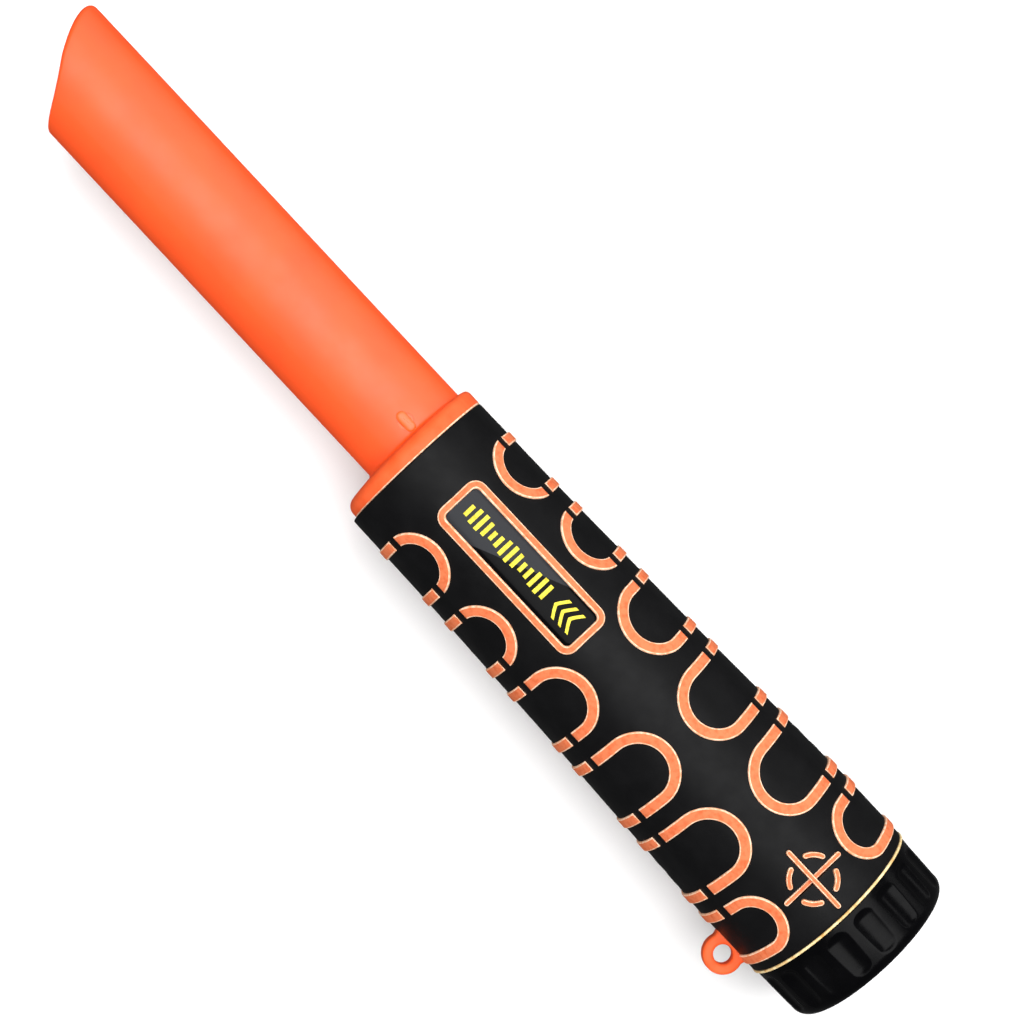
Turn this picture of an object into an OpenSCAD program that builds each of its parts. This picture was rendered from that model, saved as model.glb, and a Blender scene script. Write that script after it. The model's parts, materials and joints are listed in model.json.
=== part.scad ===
/* [Overall] */
// Length from the cap's end face to the probe's tip
total_len = 240; // [225:1:260]
// How far the probe's axis sits to one side of the grip's axis
probe_offset = 3.2; // [2.5:0.1:3.4]

/* [Probe] */
// Radius of the probe tube
probe_r = 11.7; // [11.5:0.1:12]
// Wall thickness of the probe tube
probe_wall = 2; // [1.8:0.1:2]
// How much shorter the probe is on its slanted side
tip_slant = 13.5; // [8:0.5:14]

/* [Grip] */
// Where the rubber sleeve ends and the collar starts
sleeve_end = 130.4; // [129:0.2:131]
// Thickness of the collar between grip and probe
collar_len = 3.9; // [3:0.1:4.5]
// Thickness of the rubber sleeve
sleeve_wall = 1.4; // [1.3:0.1:1.4]
// Height of the orange ribs above the rubber
rib_height = 0.4; // [0.2:0.1:0.6]
// Width of the horseshoe ribs
rib_stroke = 2.3; // [1.8:0.1:2.6]

/* [Cap] */
// Length of the cap outside the housing
cap_len = 12.7; // [12.5:0.1:13]
// Radius of the cap at its rim
cap_r = 19.2; // [19:0.1:19.4]
// Number of finger flutes round the cap
flutes = 18; // [14:1:20]
// Distance between neighbouring sound holes
grille_pitch = 4.8; // [4.6:0.1:5]
// Width of a sound hole across its flats
grille_hole = 2.4; // [2:0.1:2.8]

/* [Lanyard eye] */
// Radius of the hole that takes the lanyard's split ring
eye_r = 1.9; // [1.5:0.1:2.1]

/* [Power key] */
// How far the key sinks when it is pressed
key_travel = 0.6; // [0.3:0.1:0.6]

/* [Hidden] */
$fn = 96;

gap = 0.05;              // clearance between pieces that nearly touch
through = 1;             // how far a cutter runs past the face it cuts
slip = 0.01;             // gap between a piece and the bore that holds it
cut_low = 14;            // lowest and highest reach of cutters through the grip's skin
cut_high = 22;

// Grip outline: distance from the end face, then radius.
lip_start = cap_len;
lip_len = 0.5;
sleeve_start = lip_start + lip_len;
lip_r = 19.6;
grip_outline = [
    [sleeve_start, 19.45], [27, 19.5], [47, 18.8], [70, 18], [109, 17.06], [sleeve_end, 16.83]
];
function grip_radius(x) = lookup(x, grip_outline);

// Bores of the housing
mouth_r = 16.5;
mouth_end = 18.2;
battery_bore_r = 15.2;
battery_bore_end = 79;
board_bore_r = 13.6;
board_bore_end = sleeve_end - 1.5;
probe_bore_r = probe_r - probe_wall;
collar_start = sleeve_end;
collar_end = collar_start + collar_len;
collar_r = 16.4;
collar_shift = -0.45;
collar_round = 2.5;
root_flare = 1;
root_wall = 1;           // wall of the probe's root, where it plugs into the grip's end

// Horseshoe ribs: middle along the grip, half width, and the angle of the crown from the top line
horseshoes = [
    [21.9, 6.6, 25], [39.1, 7.85, 7.5], [58.4, 7.85, 7.5],
    [77.7, 7.75, 17.5], [96.6, 7.25, 30], [115.3, 7.25, 30]
];
crown_view = 32;         // angle of the line along which each horseshoe is cut
leg_end = 52.5;          // angle where a leg stops
tip_start = 60.5;        // angle where a pole tip starts again

// Label frame and badge
label_mid = 101.8;
label_len = 37;
label_w = 11.4;
label_round = 2.5;
frame_end_stroke = 1.9;
frame_side_stroke = 1.4;

// Power key: a cross with four arcs between its arms
key_x = 21.9;
key_r = 7.4;
key_hole_r = key_r + 0.2;
key_arm = 7.25;
key_stroke = 1;
key_arc_r = 4.6;
key_arc_span = 44;
key_skin = [17.1, 17.95];   // radii between which the key's base lies
key_root = 0.3;          // how deep the marks stand in the base
key_stem_r = 2.2;
slot_gap = 0.15;

// Switch under the key
switch_board_z = 9.2;
switch_board_h = 0.8;
switch_board_x = [19.2, 33.5];
switch_board_w = 9;
switch_body_h = 3.4;
switch_size = 6;
plunger_r = 1.7;
plunger_h = 3.1;
plunger_top = 14.7;
plunger_low = plunger_top - plunger_h;
post_x = 31.8;
post_y = 3.2;
post_r = 0.6;
ribbon_w = 6;
ribbon_h = 0.3;
ribbon_z = switch_board_z + 0.1;

// Lanyard eye
eye_x = 19.8;
eye_out = 21.8;
eye_outer_r = 4;
eye_thick = 3.6;
eye_base = 5;

// Main board
board_x = [79.5, 126.5];
board_w = 24;
board_h = 1.2;
board_top = 0.2;
board_low = board_top - board_h;
tray_h = 4;
tray_w = 24.4;
tray_rim = 1.8;
tray_cross = [6, 4];     // length of the tray's cross pieces at its two ends
tray_floor = board_low - tray_h;
chip_stand = 0.15;       // height of a chip's body above the board
chip_h = 1.5;
chip_leg = [0.45, 0.9, 0.5];
chip_leg_pitch = 1.27;
buzzer_at = [106.5, 1];
buzzer_r = 5.6;
buzzer_h = 5.2;
buzzer_hole = [1, 1.7];  // radius and depth

// Motor
motor_r = 3.5;
motor_x = [94, 106];
motor_z = -5.2;
motor_shaft_r = 0.4;
motor_shaft_in = 2.9;    // how far the shaft reaches into the motor
clip_along = [97, 103];
clip_wall = [1.2, 0.9];  // at the sides and below
weight_r = 3.1;
weight_x = [109, 112.5];

// Battery
battery_x = 23.5;
battery_len = 46.5;
battery_w = 26.5;
battery_h = 17.5;
battery_round = 2.5;
terminal_y = 6.35;
terminal_h = 2.8;
battery_end = battery_x + battery_len;
snap_len = 2.6;
bulkhead_x = [76, battery_bore_end];
lead_y = 4;
lead_r = 0.5;
lead_end = 84;
wire_hole_y = 9;
wire_hole_z = 5.5;
wire_hole_r = 2.5;
screw_y = 8.5;
screw_z = -3;
screw_r = 0.9;
screw_head_r = 1.7;
screw_head_h = 1.2;
screw_len = 7;

// Probe contents, set back from the tip so that they follow its length
coil_x = [150, total_len - 16];
coil_mid = (coil_x[0] + coil_x[1]) / 2;
rod_r = 4.1;
former_bore_r = 4.15;
former_r = 5;
flange_r = 8.6;
flange_w = 1.5;
tip_wall = 2.2;
shield_r = [9.2, 9.55];
shield_slit = 1;
coil_lead_r = 0.35;
coil_lead_start = 122.5;
spacer_start = 145;
lens_x = 137;
lens_r = 1.6;
lens_flange = 0.9;
lens_flange_top = probe_bore_r - 0.4;
lens_straight = 0.2;     // height of the lens above the tube before its dome
lens_dome = 0.35;
led_r = 1.5;
led_top = probe_bore_r - 1.4;
led_len = 3;
led_collar = 1;
led_lead_r = 0.3;
led_lead_z = board_top + 2.7;
led_lead_start = 124.5;
led_lead_y = [0.8, 5.8]; // beside the lamp, and along the board

// Cap inside
disc_r = 15.1;
disc_sink = 0.4;
face_r = 17.2;
shoulder = 2.4;
cap_bore_r = 14;
grille_plate = 1.8;
grille_inside = disc_sink + grille_plate;
membrane_h = 0.2;
membrane_ring_h = 1.2;
membrane_ring_w = 1.5;
spigot_r = 16.2;
spigot_end = 17.7;
seal_x = 13.65;
seal_r = 0.6;
flute_r = 5.2;
flute_depth = 0.75;
flute_x = [2, 11.4];
flute_turn = 6;          // angle of the first flute from the top line
spider_x = [13.2, 16.2];
hub_r = 5.4;
arm_w = 2.2;
arm_root = 4;
arm_in = 0.3;            // how much thinner an arm is than the hub, on each side
stem_r = 3;
pad_r = 8.5;
pad_x = [19.4, battery_x - 0.2];
clip_x = [12.1, spider_x[0] - gap];

// Lays a solid that was made along Z down along X, from x onwards.
module along_x(x = 0, y = 0, z = 0) {
    translate([x, y, z]) rotate([0, 90, 0]) children();
}

// A round bar along the grip.
module bar(x, r, y = 0, z = 0) {
    along_x(x[0], y, z) cylinder(r = r, h = x[1] - x[0]);
}

// A round post standing along Z between two heights.
module post(at, z, r) {
    translate([at[0], at[1], z[0]]) cylinder(r = r, h = z[1] - z[0]);
}

// A tube along the grip.
module pipe(x, outer, inner, y = 0, z = 0) {
    difference() {
        bar(x, outer, y, z);
        bar([x[0] - through, x[1] + through], inner, y, z);
    }
}

// A box between two corners.
module box(low, high) {
    translate(low) cube(high - low);
}

// Turns an outline of [distance, radius] points into a solid of revolution about the X axis.
module turned(points) {
    rotate([0, 90, 0]) rotate_extrude() polygon([for (p = points) [p[1], p[0]]]);
}

// The solid grip, grown by a radial amount.
module grip_solid(grow) {
    turned(concat(
        [[sleeve_start, 0]],
        [for (p = grip_outline) [p[0], p[1] + grow]],
        [[sleeve_end, 0]]
    ));
}

// The space inside the rubber sleeve.
module grip_core_space() {
    turned(concat(
        [[sleeve_start - through, 0], [sleeve_start - through, grip_outline[0][1] - sleeve_wall]],
        [for (p = grip_outline) [p[0], p[1] - sleeve_wall]],
        [[sleeve_end + through, grip_radius(sleeve_end) - sleeve_wall], [sleeve_end + through, 0]]
    ));
}

// The skin in which the ribs lie, from the housing's tube to the top of a rib.
module rib_skin() {
    difference() {
        grip_solid(rib_height);
        grip_core_space();
    }
}

// One horseshoe as a flat outline: x along the grip, y away from the crown.
module horseshoe_outline(half_w, crown, end) {
    centre = crown + half_w;
    reach = 2 * (half_w + through);
    intersection() {
        union() {
            difference() {
                translate([0, centre]) circle(r = half_w);
                translate([0, centre]) circle(r = half_w - rib_stroke);
                translate([-reach / 2, centre]) square([reach, reach]);
            }
            for (side = [-1, 1])
                translate([side * (half_w - rib_stroke / 2) - rib_stroke / 2, centre - gap])
                    square([rib_stroke, reach]);
        }
        translate([-reach / 2, crown - through]) square([reach, end - crown + through]);
    }
}

// The crown and legs of one horseshoe, cut straight through the skin.
module crown_prism(shoe) {
    r = grip_radius(shoe[0]);
    crown = r * sin(shoe[2] - crown_view);
    end = r * sin(leg_end - crown_view);
    translate([shoe[0], 0, 0]) rotate([-crown_view, 0, 0])
        translate([0, 0, cut_low]) linear_extrude(cut_high - cut_low)
            horseshoe_outline(shoe[1], crown, end);
}

// A bar round the grip between two angles from the top line.
module side_bar(x_mid, width, from, to) {
    rotate([180 - to, 0, 0]) rotate([0, 90, 0]) rotate_extrude(angle = to - from)
        translate([cut_low, x_mid - width / 2]) square([cut_high - cut_low, width]);
}

// The pole tips that run round the side of the grip. The leg next to the cap runs into its tip unbroken,
// where the tip is a little narrower and starts inside the leg, so that the two overlap without shared faces.
module side_bars(shoe) {
    for (side = [-1, 1]) {
        unbroken = shoe == horseshoes[0] && side < 0;
        first = unbroken ? leg_end - 1.5 : tip_start;
        width = unbroken ? rib_stroke - 0.2 : rib_stroke;
        side_bar(shoe[0] + side * (shoe[1] - rib_stroke / 2), width, first, 180 - first);
    }
}

// All horseshoes: two rows in front, two rows behind, and the pole tips between them.
module horseshoe_prisms() {
    for (side = [0, 1]) mirror([0, side, 0]) for (shoe = horseshoes) {
        crown_prism(shoe);
        mirror([0, 0, 1]) crown_prism(shoe);
        side_bars(shoe);
    }
}

// A rectangle with round corners, centred.
module round_rect(w, h, r) {
    square([w - 2 * r, h], center = true);
    square([w, h - 2 * r], center = true);
    for (x = [-1, 1], y = [-1, 1]) translate([x * (w / 2 - r), y * (h / 2 - r)]) circle(r = r);
}

// A prism through the top of the grip with the outline of the label frame, shrunk at ends and sides.
module label_prism(end_in, side_in) {
    translate([label_mid, 0, cut_low]) linear_extrude(cut_high - cut_low)
        round_rect(label_len - 2 * end_in, label_w - 2 * side_in, label_round - side_in * 0.8);
}

// The raised frame round the badge.
module label_frame_prism() {
    difference() {
        label_prism(0, 0);
        label_prism(frame_end_stroke, frame_side_stroke);
    }
}

// The half space on the handle's side of the slanted tip, set back by some wall.
module behind_tip(set_back) {
    angle = atan(tip_slant / (2 * probe_r));
    reach = 2 * total_len;
    translate([total_len - tip_slant / 2, -probe_offset, 0]) rotate([0, 0, angle])
        translate([-reach - set_back, -reach / 2, -reach / 2]) cube(reach);
}

// The slanted probe tube, solid.
module probe_solid(r, x, set_back) {
    intersection() {
        bar([x, total_len + through], r, -probe_offset);
        behind_tip(set_back);
    }
}

// The collar, with its edge rounded towards the probe and a short flare round the probe's root.
module collar_solid() {
    edge = [collar_r - collar_round, collar_end - collar_round];
    translate([0, collar_shift, 0]) rotate([0, 90, 0]) rotate_extrude() {
        translate([0, collar_start]) square([collar_r, edge[1] - collar_start]);
        translate([0, edge[1]]) square([edge[0], collar_round]);
        intersection() {
            translate(edge) circle(r = collar_round);
            translate(edge) square(collar_round);
        }
    }
    sink = 0.2;
    along_x(collar_end - sink, -probe_offset)
        cylinder(r1 = probe_r + root_flare, r2 = probe_r, h = root_flare + sink);
}

// The eye for the lanyard's split ring, without its hole.
module eye_solid() {
    base_y = mouth_r + 0.8;
    shoulder_y = base_y + 2;
    neck = eye_outer_r * 0.9;
    translate([eye_x, 0, -eye_thick / 2]) linear_extrude(eye_thick) {
        translate([0, eye_out]) circle(r = eye_outer_r);
        polygon([[-eye_base, base_y], [eye_base, base_y], [eye_base, shoulder_y],
            [neck, eye_out], [-neck, eye_out], [-eye_base, shoulder_y]]);
    }
}

// The marks of the power key as solids standing along Z, grown by a gap.
module key_marks(grow, low, high) {
    stroke = key_stroke + 2 * grow;
    extra = grow * 12;   // degrees by which each end of an arc grows
    translate([key_x, 0, low]) {
        for (turn = [0, 90]) rotate([0, 0, turn])
            translate([-key_arm - grow, -stroke / 2, 0]) cube([2 * (key_arm + grow), stroke, high - low]);
        for (turn = [45:90:315]) rotate([0, 0, turn - key_arc_span / 2 - extra])
            rotate_extrude(angle = key_arc_span + 2 * extra)
                translate([key_arc_r - stroke / 2, 0]) square([stroke, high - low]);
    }
}

module housing_shell() color("OrangeRed") difference() {
    root_r = probe_bore_r + root_wall;
    union() {
        union() {
            grip_solid(-sleeve_wall);
            eye_solid();
        }
        bar([lip_start, sleeve_start], lip_r);
    }
    bar([0, mouth_end], mouth_r);
    bar([mouth_end - through, battery_bore_end], battery_bore_r);
    bar([battery_bore_end - through, board_bore_end], board_bore_r);
    bar([board_bore_end - through, sleeve_end + through], root_r + slip, -probe_offset);
    post([key_x, 0], [cut_low - 4, cut_high], key_hole_r);
    post([eye_x, eye_out], [-eye_thick, eye_thick], eye_r);
}

// The probe with its collar and the root that plugs into the grip's end.
module probe_tube() color("OrangeRed") difference() {
    union() {
        union() {
            collar_solid();
            probe_solid(probe_r, collar_start, 0);
        }
        bar([board_bore_end, collar_start + through], probe_bore_r + root_wall, -probe_offset);
    }
    probe_solid(probe_bore_r, board_bore_end - through, tip_wall);
    post([lens_x, -probe_offset], [probe_bore_r / 2, probe_r + through], lens_r);
}

module grip_sleeve() color("DimGray") difference() {
    grip_solid(0);
    grip_core_space();
    horseshoe_prisms();
    label_prism(0, 0);
    eye_solid();
    key_marks(slot_gap, cut_low + 1, cut_high);
}

module horseshoe_inlays() color("Coral") difference() {
    intersection() {
        rib_skin();
        horseshoe_prisms();
    }
    eye_solid();
}

module label_frame() color("Coral") intersection() {
    rib_skin();
    label_frame_prism();
}

module label_badge() color("Black") intersection() {
    label_prism(frame_end_stroke + gap, frame_side_stroke + gap);
    difference() {
        grip_solid(0.1);
        grip_solid(-sleeve_wall + gap);
    }
}

module led_lens() color("Orange") {
    at = [lens_x, -probe_offset];
    dome = probe_r + lens_straight;
    post(at, [lens_flange_top - lens_flange, lens_flange_top], lens_r + 0.8);
    post(at, [lens_flange_top, dome], lens_r - slip);
    translate([at[0], at[1], dome]) cylinder(r1 = lens_r - slip, r2 = lens_r - 0.6, h = lens_dome);
}

module led() color("White") {
    at = [lens_x, -probe_offset];
    post(at, [led_top - led_len, led_top], led_r);
    post(at, [led_top - led_len - led_collar, led_top - led_len], led_r + 0.4);
}

// Two bent wires: up from the board, along it, across to the lamp and up into it.
module led_leads() color("Silver") for (side = [-1, 1]) {
    near = -probe_offset + side * led_lead_y[0];
    far = -probe_offset + side * led_lead_y[1];
    reach = [led_lead_r, 0, led_lead_r];
    bar([led_lead_start, lens_x + led_lead_r], led_lead_r, far, led_lead_z);
    post([lens_x, near], [led_lead_z - led_lead_r, led_top - led_len - led_collar], led_lead_r);
    box([lens_x, min(near, far), led_lead_z] - reach, [lens_x, max(near, far), led_lead_z] + reach);
    post([led_lead_start + led_lead_r, far], [board_top, led_lead_z], led_lead_r);
}

module main_pcb() color("DarkGreen")
    box([board_x[0], -board_w / 2, board_low], [board_x[1], board_w / 2, board_top]);

module pcb_tray() color("Gray") difference() {
    start = bulkhead_x[1];
    inner = tray_w / 2 - tray_rim;
    box([start, -tray_w / 2, tray_floor], [board_x[1], tray_w / 2, board_low]);
    box([start + tray_cross[0], -inner, tray_floor - through],
        [board_x[1] - tray_cross[1], inner, board_low + through]);
    for (side = [-1, 1]) bar([start - through, start + screw_len - 2.5], screw_r, side * screw_y, screw_z);
}

// Chips, each given as middle, length and width, with a row of legs along both long sides.
module ic_chips() color("#222222") for (chip = [[118, 5.5, 10, 6], [118, -6, 5, 4], [111, -8, 5, 4]]) {
    length = chip[2];
    width = chip[3];
    translate([chip[0] - length / 2, chip[1] - width / 2, board_top]) {
        translate([0, 0, chip_stand]) cube([length, width, chip_h]);
        for (along = [0.5:chip_leg_pitch:length - 0.6], side = [0, 1])
            translate([along, side * (width + chip_leg[1]) - chip_leg[1], 0]) cube(chip_leg);
    }
}

// Capacitors, each given as middle, radius and height.
module capacitors() color("SteelBlue") for (can = [[91, -5.5, 4, 8.4], [88.5, 6, 3.1, 7.5], [97, 7, 2.5, 6]])
    post(can, [board_top, board_top + can[3]], can[2]);

module buzzer() color("#181818") difference() {
    top = board_top + buzzer_h;
    post(buzzer_at, [board_top, top], buzzer_r);
    post(buzzer_at, [top - buzzer_hole[1], top + through], buzzer_hole[0]);
}

module vibration_motor() color("Silver") difference() {
    bar(motor_x, motor_r, 0, motor_z);
    bar([motor_x[1] - motor_shaft_in - 0.1, motor_x[1] + through], motor_shaft_r + gap, 0, motor_z);
}

module motor_clip() color("Gray") difference() {
    half_w = motor_r + clip_wall[0];
    box([clip_along[0], -half_w, motor_z - motor_r - clip_wall[1]], [clip_along[1], half_w, board_low]);
    bar([clip_along[0] - through, clip_along[1] + through], motor_r, 0, motor_z);
}

module motor_shaft() color("Silver")
    bar([motor_x[1] - motor_shaft_in, weight_x[1]], motor_shaft_r, 0, motor_z);

// A disc with its upper part cut away, on the motor's shaft.
module eccentric_weight() color("Goldenrod") difference() {
    cut = motor_z + 2 * motor_shaft_r;
    bar(weight_x, weight_r, 0, motor_z);
    box([weight_x[0] - through, -2 * weight_r, cut], [weight_x[1] + through, 2 * weight_r, cut + 2 * weight_r]);
    bar([weight_x[0] - through, weight_x[1] + through], motor_shaft_r, 0, motor_z);
}

// The key: a curved base in the housing's opening, the marks that stand through the rubber, and a stem.
module power_key() color("OrangeRed") {
    along = [key_x - key_r - through, key_x + key_r + through];
    intersection() {
        post([key_x, 0], [cut_low / 2, cut_high], key_r);
        pipe(along, key_skin[1], key_skin[0]);
    }
    intersection() {
        key_marks(0, cut_low / 2, cut_high);
        pipe(along, grip_radius(key_x) + rib_height, key_skin[1] - key_root);
    }
    post([key_x, 0], [plunger_top, key_skin[0] + 0.4], key_stem_r);
}

module switch_plunger() color("#303030") post([key_x, 0], [plunger_low, plunger_top], plunger_r);

module switch_body() color("Silver") difference() {
    low = switch_board_z + switch_board_h;
    half = switch_size / 2;
    box([key_x - half, -half, low], [key_x + half, half, low + switch_body_h]);
    post([key_x, 0], [plunger_low - key_travel - 0.1, plunger_top], plunger_r + gap);
}

module switch_board() color("DarkGreen") difference() {
    top = switch_board_z + switch_board_h;
    half = switch_board_w / 2;
    box([switch_board_x[0], -half, switch_board_z], [switch_board_x[1], half, top]);
    for (side = [-1, 1]) post([post_x, side * post_y], [switch_board_z - through, top + through], post_r);
}

module switch_ribbon() color("Gold") {
    half = ribbon_w / 2;
    far = board_x[0] + 1.5;
    box([switch_board_x[1], -half, ribbon_z], [far, half, ribbon_z + ribbon_h]);
    box([far - ribbon_h, -half, board_top], [far, half, ribbon_z + ribbon_h]);
}

module battery_can() color("#2d4a66") along_x(battery_x) linear_extrude(battery_len)
    round_rect(battery_h, battery_w, battery_round);

module battery_terminals() color("Silver") {
    bar([battery_end, battery_end + terminal_h], 2.9, terminal_y);
    along_x(battery_end, -terminal_y) cylinder(r = 4, h = terminal_h, $fn = 6);
}

module battery_snap() color("#202020") along_x(battery_end + terminal_h) linear_extrude(snap_len)
    round_rect(12, 26, 3);

module battery_leads() color("Crimson") for (side = [-1, 1])
    bar([battery_end + terminal_h + snap_len, lead_end], lead_r, side * lead_y, board_top + lead_r);

module bulkhead() color("Gray") difference() {
    cut = [bulkhead_x[0] - through, bulkhead_x[1] + through];
    bar([bulkhead_x[0], bulkhead_x[1] - gap], battery_bore_r - gap);
    for (side = [-1, 1]) {
        bar(cut, lead_r + 0.2, side * lead_y, board_top + lead_r);
        bar(cut, wire_hole_r, side * wire_hole_y, wire_hole_z);
        bar(cut, screw_r + gap, side * screw_y, screw_z);
        bar([cut[0], bulkhead_x[0] + screw_head_h], screw_head_r + 0.1, side * screw_y, screw_z);
    }
    box([cut[0], -ribbon_w / 2 - 0.4, ribbon_z - 0.3], [cut[1], ribbon_w / 2 + 0.4, ribbon_z + ribbon_h + 0.3]);
}

module bulkhead_screws() color("Silver") for (side = [-1, 1]) difference() {
    slot = [screw_head_h / 2, 1.2, 0.2];
    start = [bulkhead_x[0], side * screw_y, screw_z];
    union() {
        bar([start[0], start[0] + screw_head_h], screw_head_r, start[1], screw_z);
        bar([start[0], start[0] + screw_len], screw_r, start[1], screw_z);
    }
    box(start - [through, slot[1], slot[2]], start + slot);
}

// The bobbin: a tube with a flange at each end and one between its two windings.
module coil_former() color("Beige") difference() {
    union() {
        bar(coil_x, former_r, -probe_offset);
        for (x = [coil_x[0], coil_mid - flange_w / 2, coil_x[1] - flange_w])
            bar([x, x + flange_w], flange_r, -probe_offset);
    }
    bar([coil_x[0] - through, coil_x[1] + through], former_bore_r, -probe_offset);
}

module ferrite_rod() color("#3a3a3a") bar([coil_x[0] + 2, coil_x[1] - 0.5], rod_r, -probe_offset);

module transmit_winding() color("Peru")
    pipe([coil_x[0] + flange_w, coil_mid - flange_w / 2], 8, former_r + slip, -probe_offset);

module receive_winding() color("Chocolate")
    pipe([coil_mid + flange_w / 2, coil_x[1] - flange_w], 7.4, former_r + slip, -probe_offset);

module coil_leads() color("Chocolate") for (i = [-1.5:1:1.5])
    bar([coil_lead_start, coil_x[0] + 1], coil_lead_r, -probe_offset + i * 0.9, board_top + coil_lead_r);

module coil_spacer() color("LightGray")
    pipe([spacer_start, coil_x[0] - gap], shield_r[0] - gap, 3, -probe_offset);

module tip_cushion() color("LightGray") probe_solid(flange_r, coil_x[1] + gap, tip_wall + gap);

// Graphite shield round the coils, with a slit along it so that it makes no closed turn.
module coil_shield() color("DimGray") difference() {
    pipe([coil_x[0] - 4, coil_x[1] - 2], shield_r[1], shield_r[0], -probe_offset);
    box([coil_x[0] - 8, -probe_offset - shield_slit / 2, -shield_r[1] - through],
        [coil_x[1] + 2, -probe_offset + shield_slit / 2, -shield_r[0] / 2]);
}

// The nineteen hexagonal sound holes, in rows of 3, 4, 5, 4 and 3.
module grille_holes() {
    for (row = [-2:2], i = [0:4 - abs(row)])
        along_x(disc_sink - through, (i - (4 - abs(row)) / 2) * grille_pitch, row * grille_pitch * sin(60))
            rotate([0, 0, 30]) cylinder(d = grille_hole / cos(30), h = grille_plate + 2 * through, $fn = 6);
}

// The screw cap: a fluted skirt and a spigot round an open bore, with the grille in its end.
module end_cap() color("#0a0a0a") difference() {
    turned([[0, 0], [0, face_r], [shoulder * 0.35, face_r + 1.2], [shoulder, cap_r - 0.3],
        [9, cap_r], [cap_len - gap, cap_r], [cap_len - gap, spigot_r], [spigot_end, spigot_r],
        [spigot_end, 0]]);
    difference() {
        bar([grille_inside, spigot_end + through], cap_bore_r);
        spider();
    }
    bar([-through, disc_sink], disc_r);
    grille_holes();
    pipe([seal_x - seal_r - gap, seal_x + seal_r + gap], spigot_r + through, spigot_r - seal_r * 1.6);
    for (i = [0:flutes - 1]) rotate([i * 360 / flutes + flute_turn, 0, 0])
        bar(flute_x, flute_r, 0, cap_r + flute_r - flute_depth);
}

// The three-armed spider in the cap that carries the pad's stem.
module spider() difference() {
    union() {
        bar(spider_x, hub_r);
        for (turn = [0, 120, 240]) rotate([turn, 0, 0])
            box([spider_x[0] + arm_in, -arm_w / 2, arm_root],
                [spider_x[1] - arm_in, arm_w / 2, cap_bore_r + 0.5]);
    }
    bar([spider_x[0] - through, spider_x[1] + through], stem_r + gap);
}

module cap_seal() color("#1c1c1c") translate([seal_x, 0, 0]) rotate([0, 90, 0])
    rotate_extrude() translate([spigot_r - seal_r * 0.6 + slip, 0]) circle(r = seal_r, $fn = 32);

module grille_membrane() color("LightGray")
    bar([grille_inside, grille_inside + membrane_h], cap_bore_r - 0.3);

module membrane_ring() color("#151515")
    pipe([grille_inside + membrane_h, grille_inside + membrane_h + membrane_ring_h],
        cap_bore_r, cap_bore_r - membrane_ring_w);

// The pad that presses on the battery, on a stem that turns in the spider.
module battery_pad() color("#303030") {
    bar(pad_x, pad_r);
    bar([spider_x[1] + gap, pad_x[0]], hub_r - 0.6);
    bar([clip_x[0] - 0.6, pad_x[0]], stem_r);
}

// The open ring that holds the stem in the spider.
module pad_clip() color("Silver") difference() {
    opening = 2.8;
    bar(clip_x, stem_r + 1.6);
    bar([clip_x[0] - through, clip_x[1] + through], stem_r);
    box([clip_x[0] - through, -opening / 2, 0], [clip_x[1] + through, opening / 2, 2 * stem_r]);
}

housing_shell();
probe_tube();
grip_sleeve();
horseshoe_inlays();
label_frame();
label_badge();
led_lens();
led();
led_leads();
main_pcb();
pcb_tray();
ic_chips();
capacitors();
buzzer();
vibration_motor();
motor_clip();
motor_shaft();
eccentric_weight();
power_key();
switch_plunger();
switch_body();
switch_board();
switch_ribbon();
battery_can();
battery_terminals();
battery_snap();
battery_leads();
bulkhead();
bulkhead_screws();
coil_former();
ferrite_rod();
transmit_winding();
receive_winding();
coil_leads();
coil_spacer();
tip_cushion();
coil_shield();
end_cap();
cap_seal();
grille_membrane();
membrane_ring();
battery_pad();
pad_clip();
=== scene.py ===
"""Looks of the pinpointer probe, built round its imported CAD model.

Surface features on the grip are drawn on the unrolled grip, as (x, s): x runs along the grip and s is the arc
length from its top line. on_grip() wraps such a point round the grip. Sizes are in millimetres until a mesh
is made, and metres from there on.
"""

import json
import math

import bmesh
import bpy
import numpy as np
from mathutils import Matrix, Vector


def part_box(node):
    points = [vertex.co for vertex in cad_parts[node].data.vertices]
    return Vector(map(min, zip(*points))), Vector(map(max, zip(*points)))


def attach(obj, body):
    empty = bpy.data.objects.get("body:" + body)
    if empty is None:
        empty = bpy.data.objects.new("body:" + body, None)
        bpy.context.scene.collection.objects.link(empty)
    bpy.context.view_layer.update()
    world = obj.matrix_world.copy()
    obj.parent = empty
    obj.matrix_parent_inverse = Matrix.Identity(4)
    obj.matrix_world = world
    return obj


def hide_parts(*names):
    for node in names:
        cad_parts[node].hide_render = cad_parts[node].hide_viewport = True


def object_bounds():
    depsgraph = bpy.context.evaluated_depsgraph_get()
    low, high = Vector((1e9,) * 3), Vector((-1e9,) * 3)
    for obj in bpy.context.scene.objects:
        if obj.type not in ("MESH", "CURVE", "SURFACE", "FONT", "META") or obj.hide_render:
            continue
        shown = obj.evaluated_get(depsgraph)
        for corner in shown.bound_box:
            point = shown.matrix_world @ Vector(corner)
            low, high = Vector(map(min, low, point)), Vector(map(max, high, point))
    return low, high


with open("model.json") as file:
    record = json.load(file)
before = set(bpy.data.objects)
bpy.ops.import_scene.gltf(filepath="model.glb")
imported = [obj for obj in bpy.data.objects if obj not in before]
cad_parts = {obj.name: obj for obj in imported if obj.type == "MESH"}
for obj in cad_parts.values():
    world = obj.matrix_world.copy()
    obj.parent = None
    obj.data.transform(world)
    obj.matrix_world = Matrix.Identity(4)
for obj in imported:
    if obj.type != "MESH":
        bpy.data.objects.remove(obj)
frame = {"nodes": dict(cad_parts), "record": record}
cad_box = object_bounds()

MM = 0.001

# ---------------------------------------------------------------- sizes read from the frame


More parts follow.
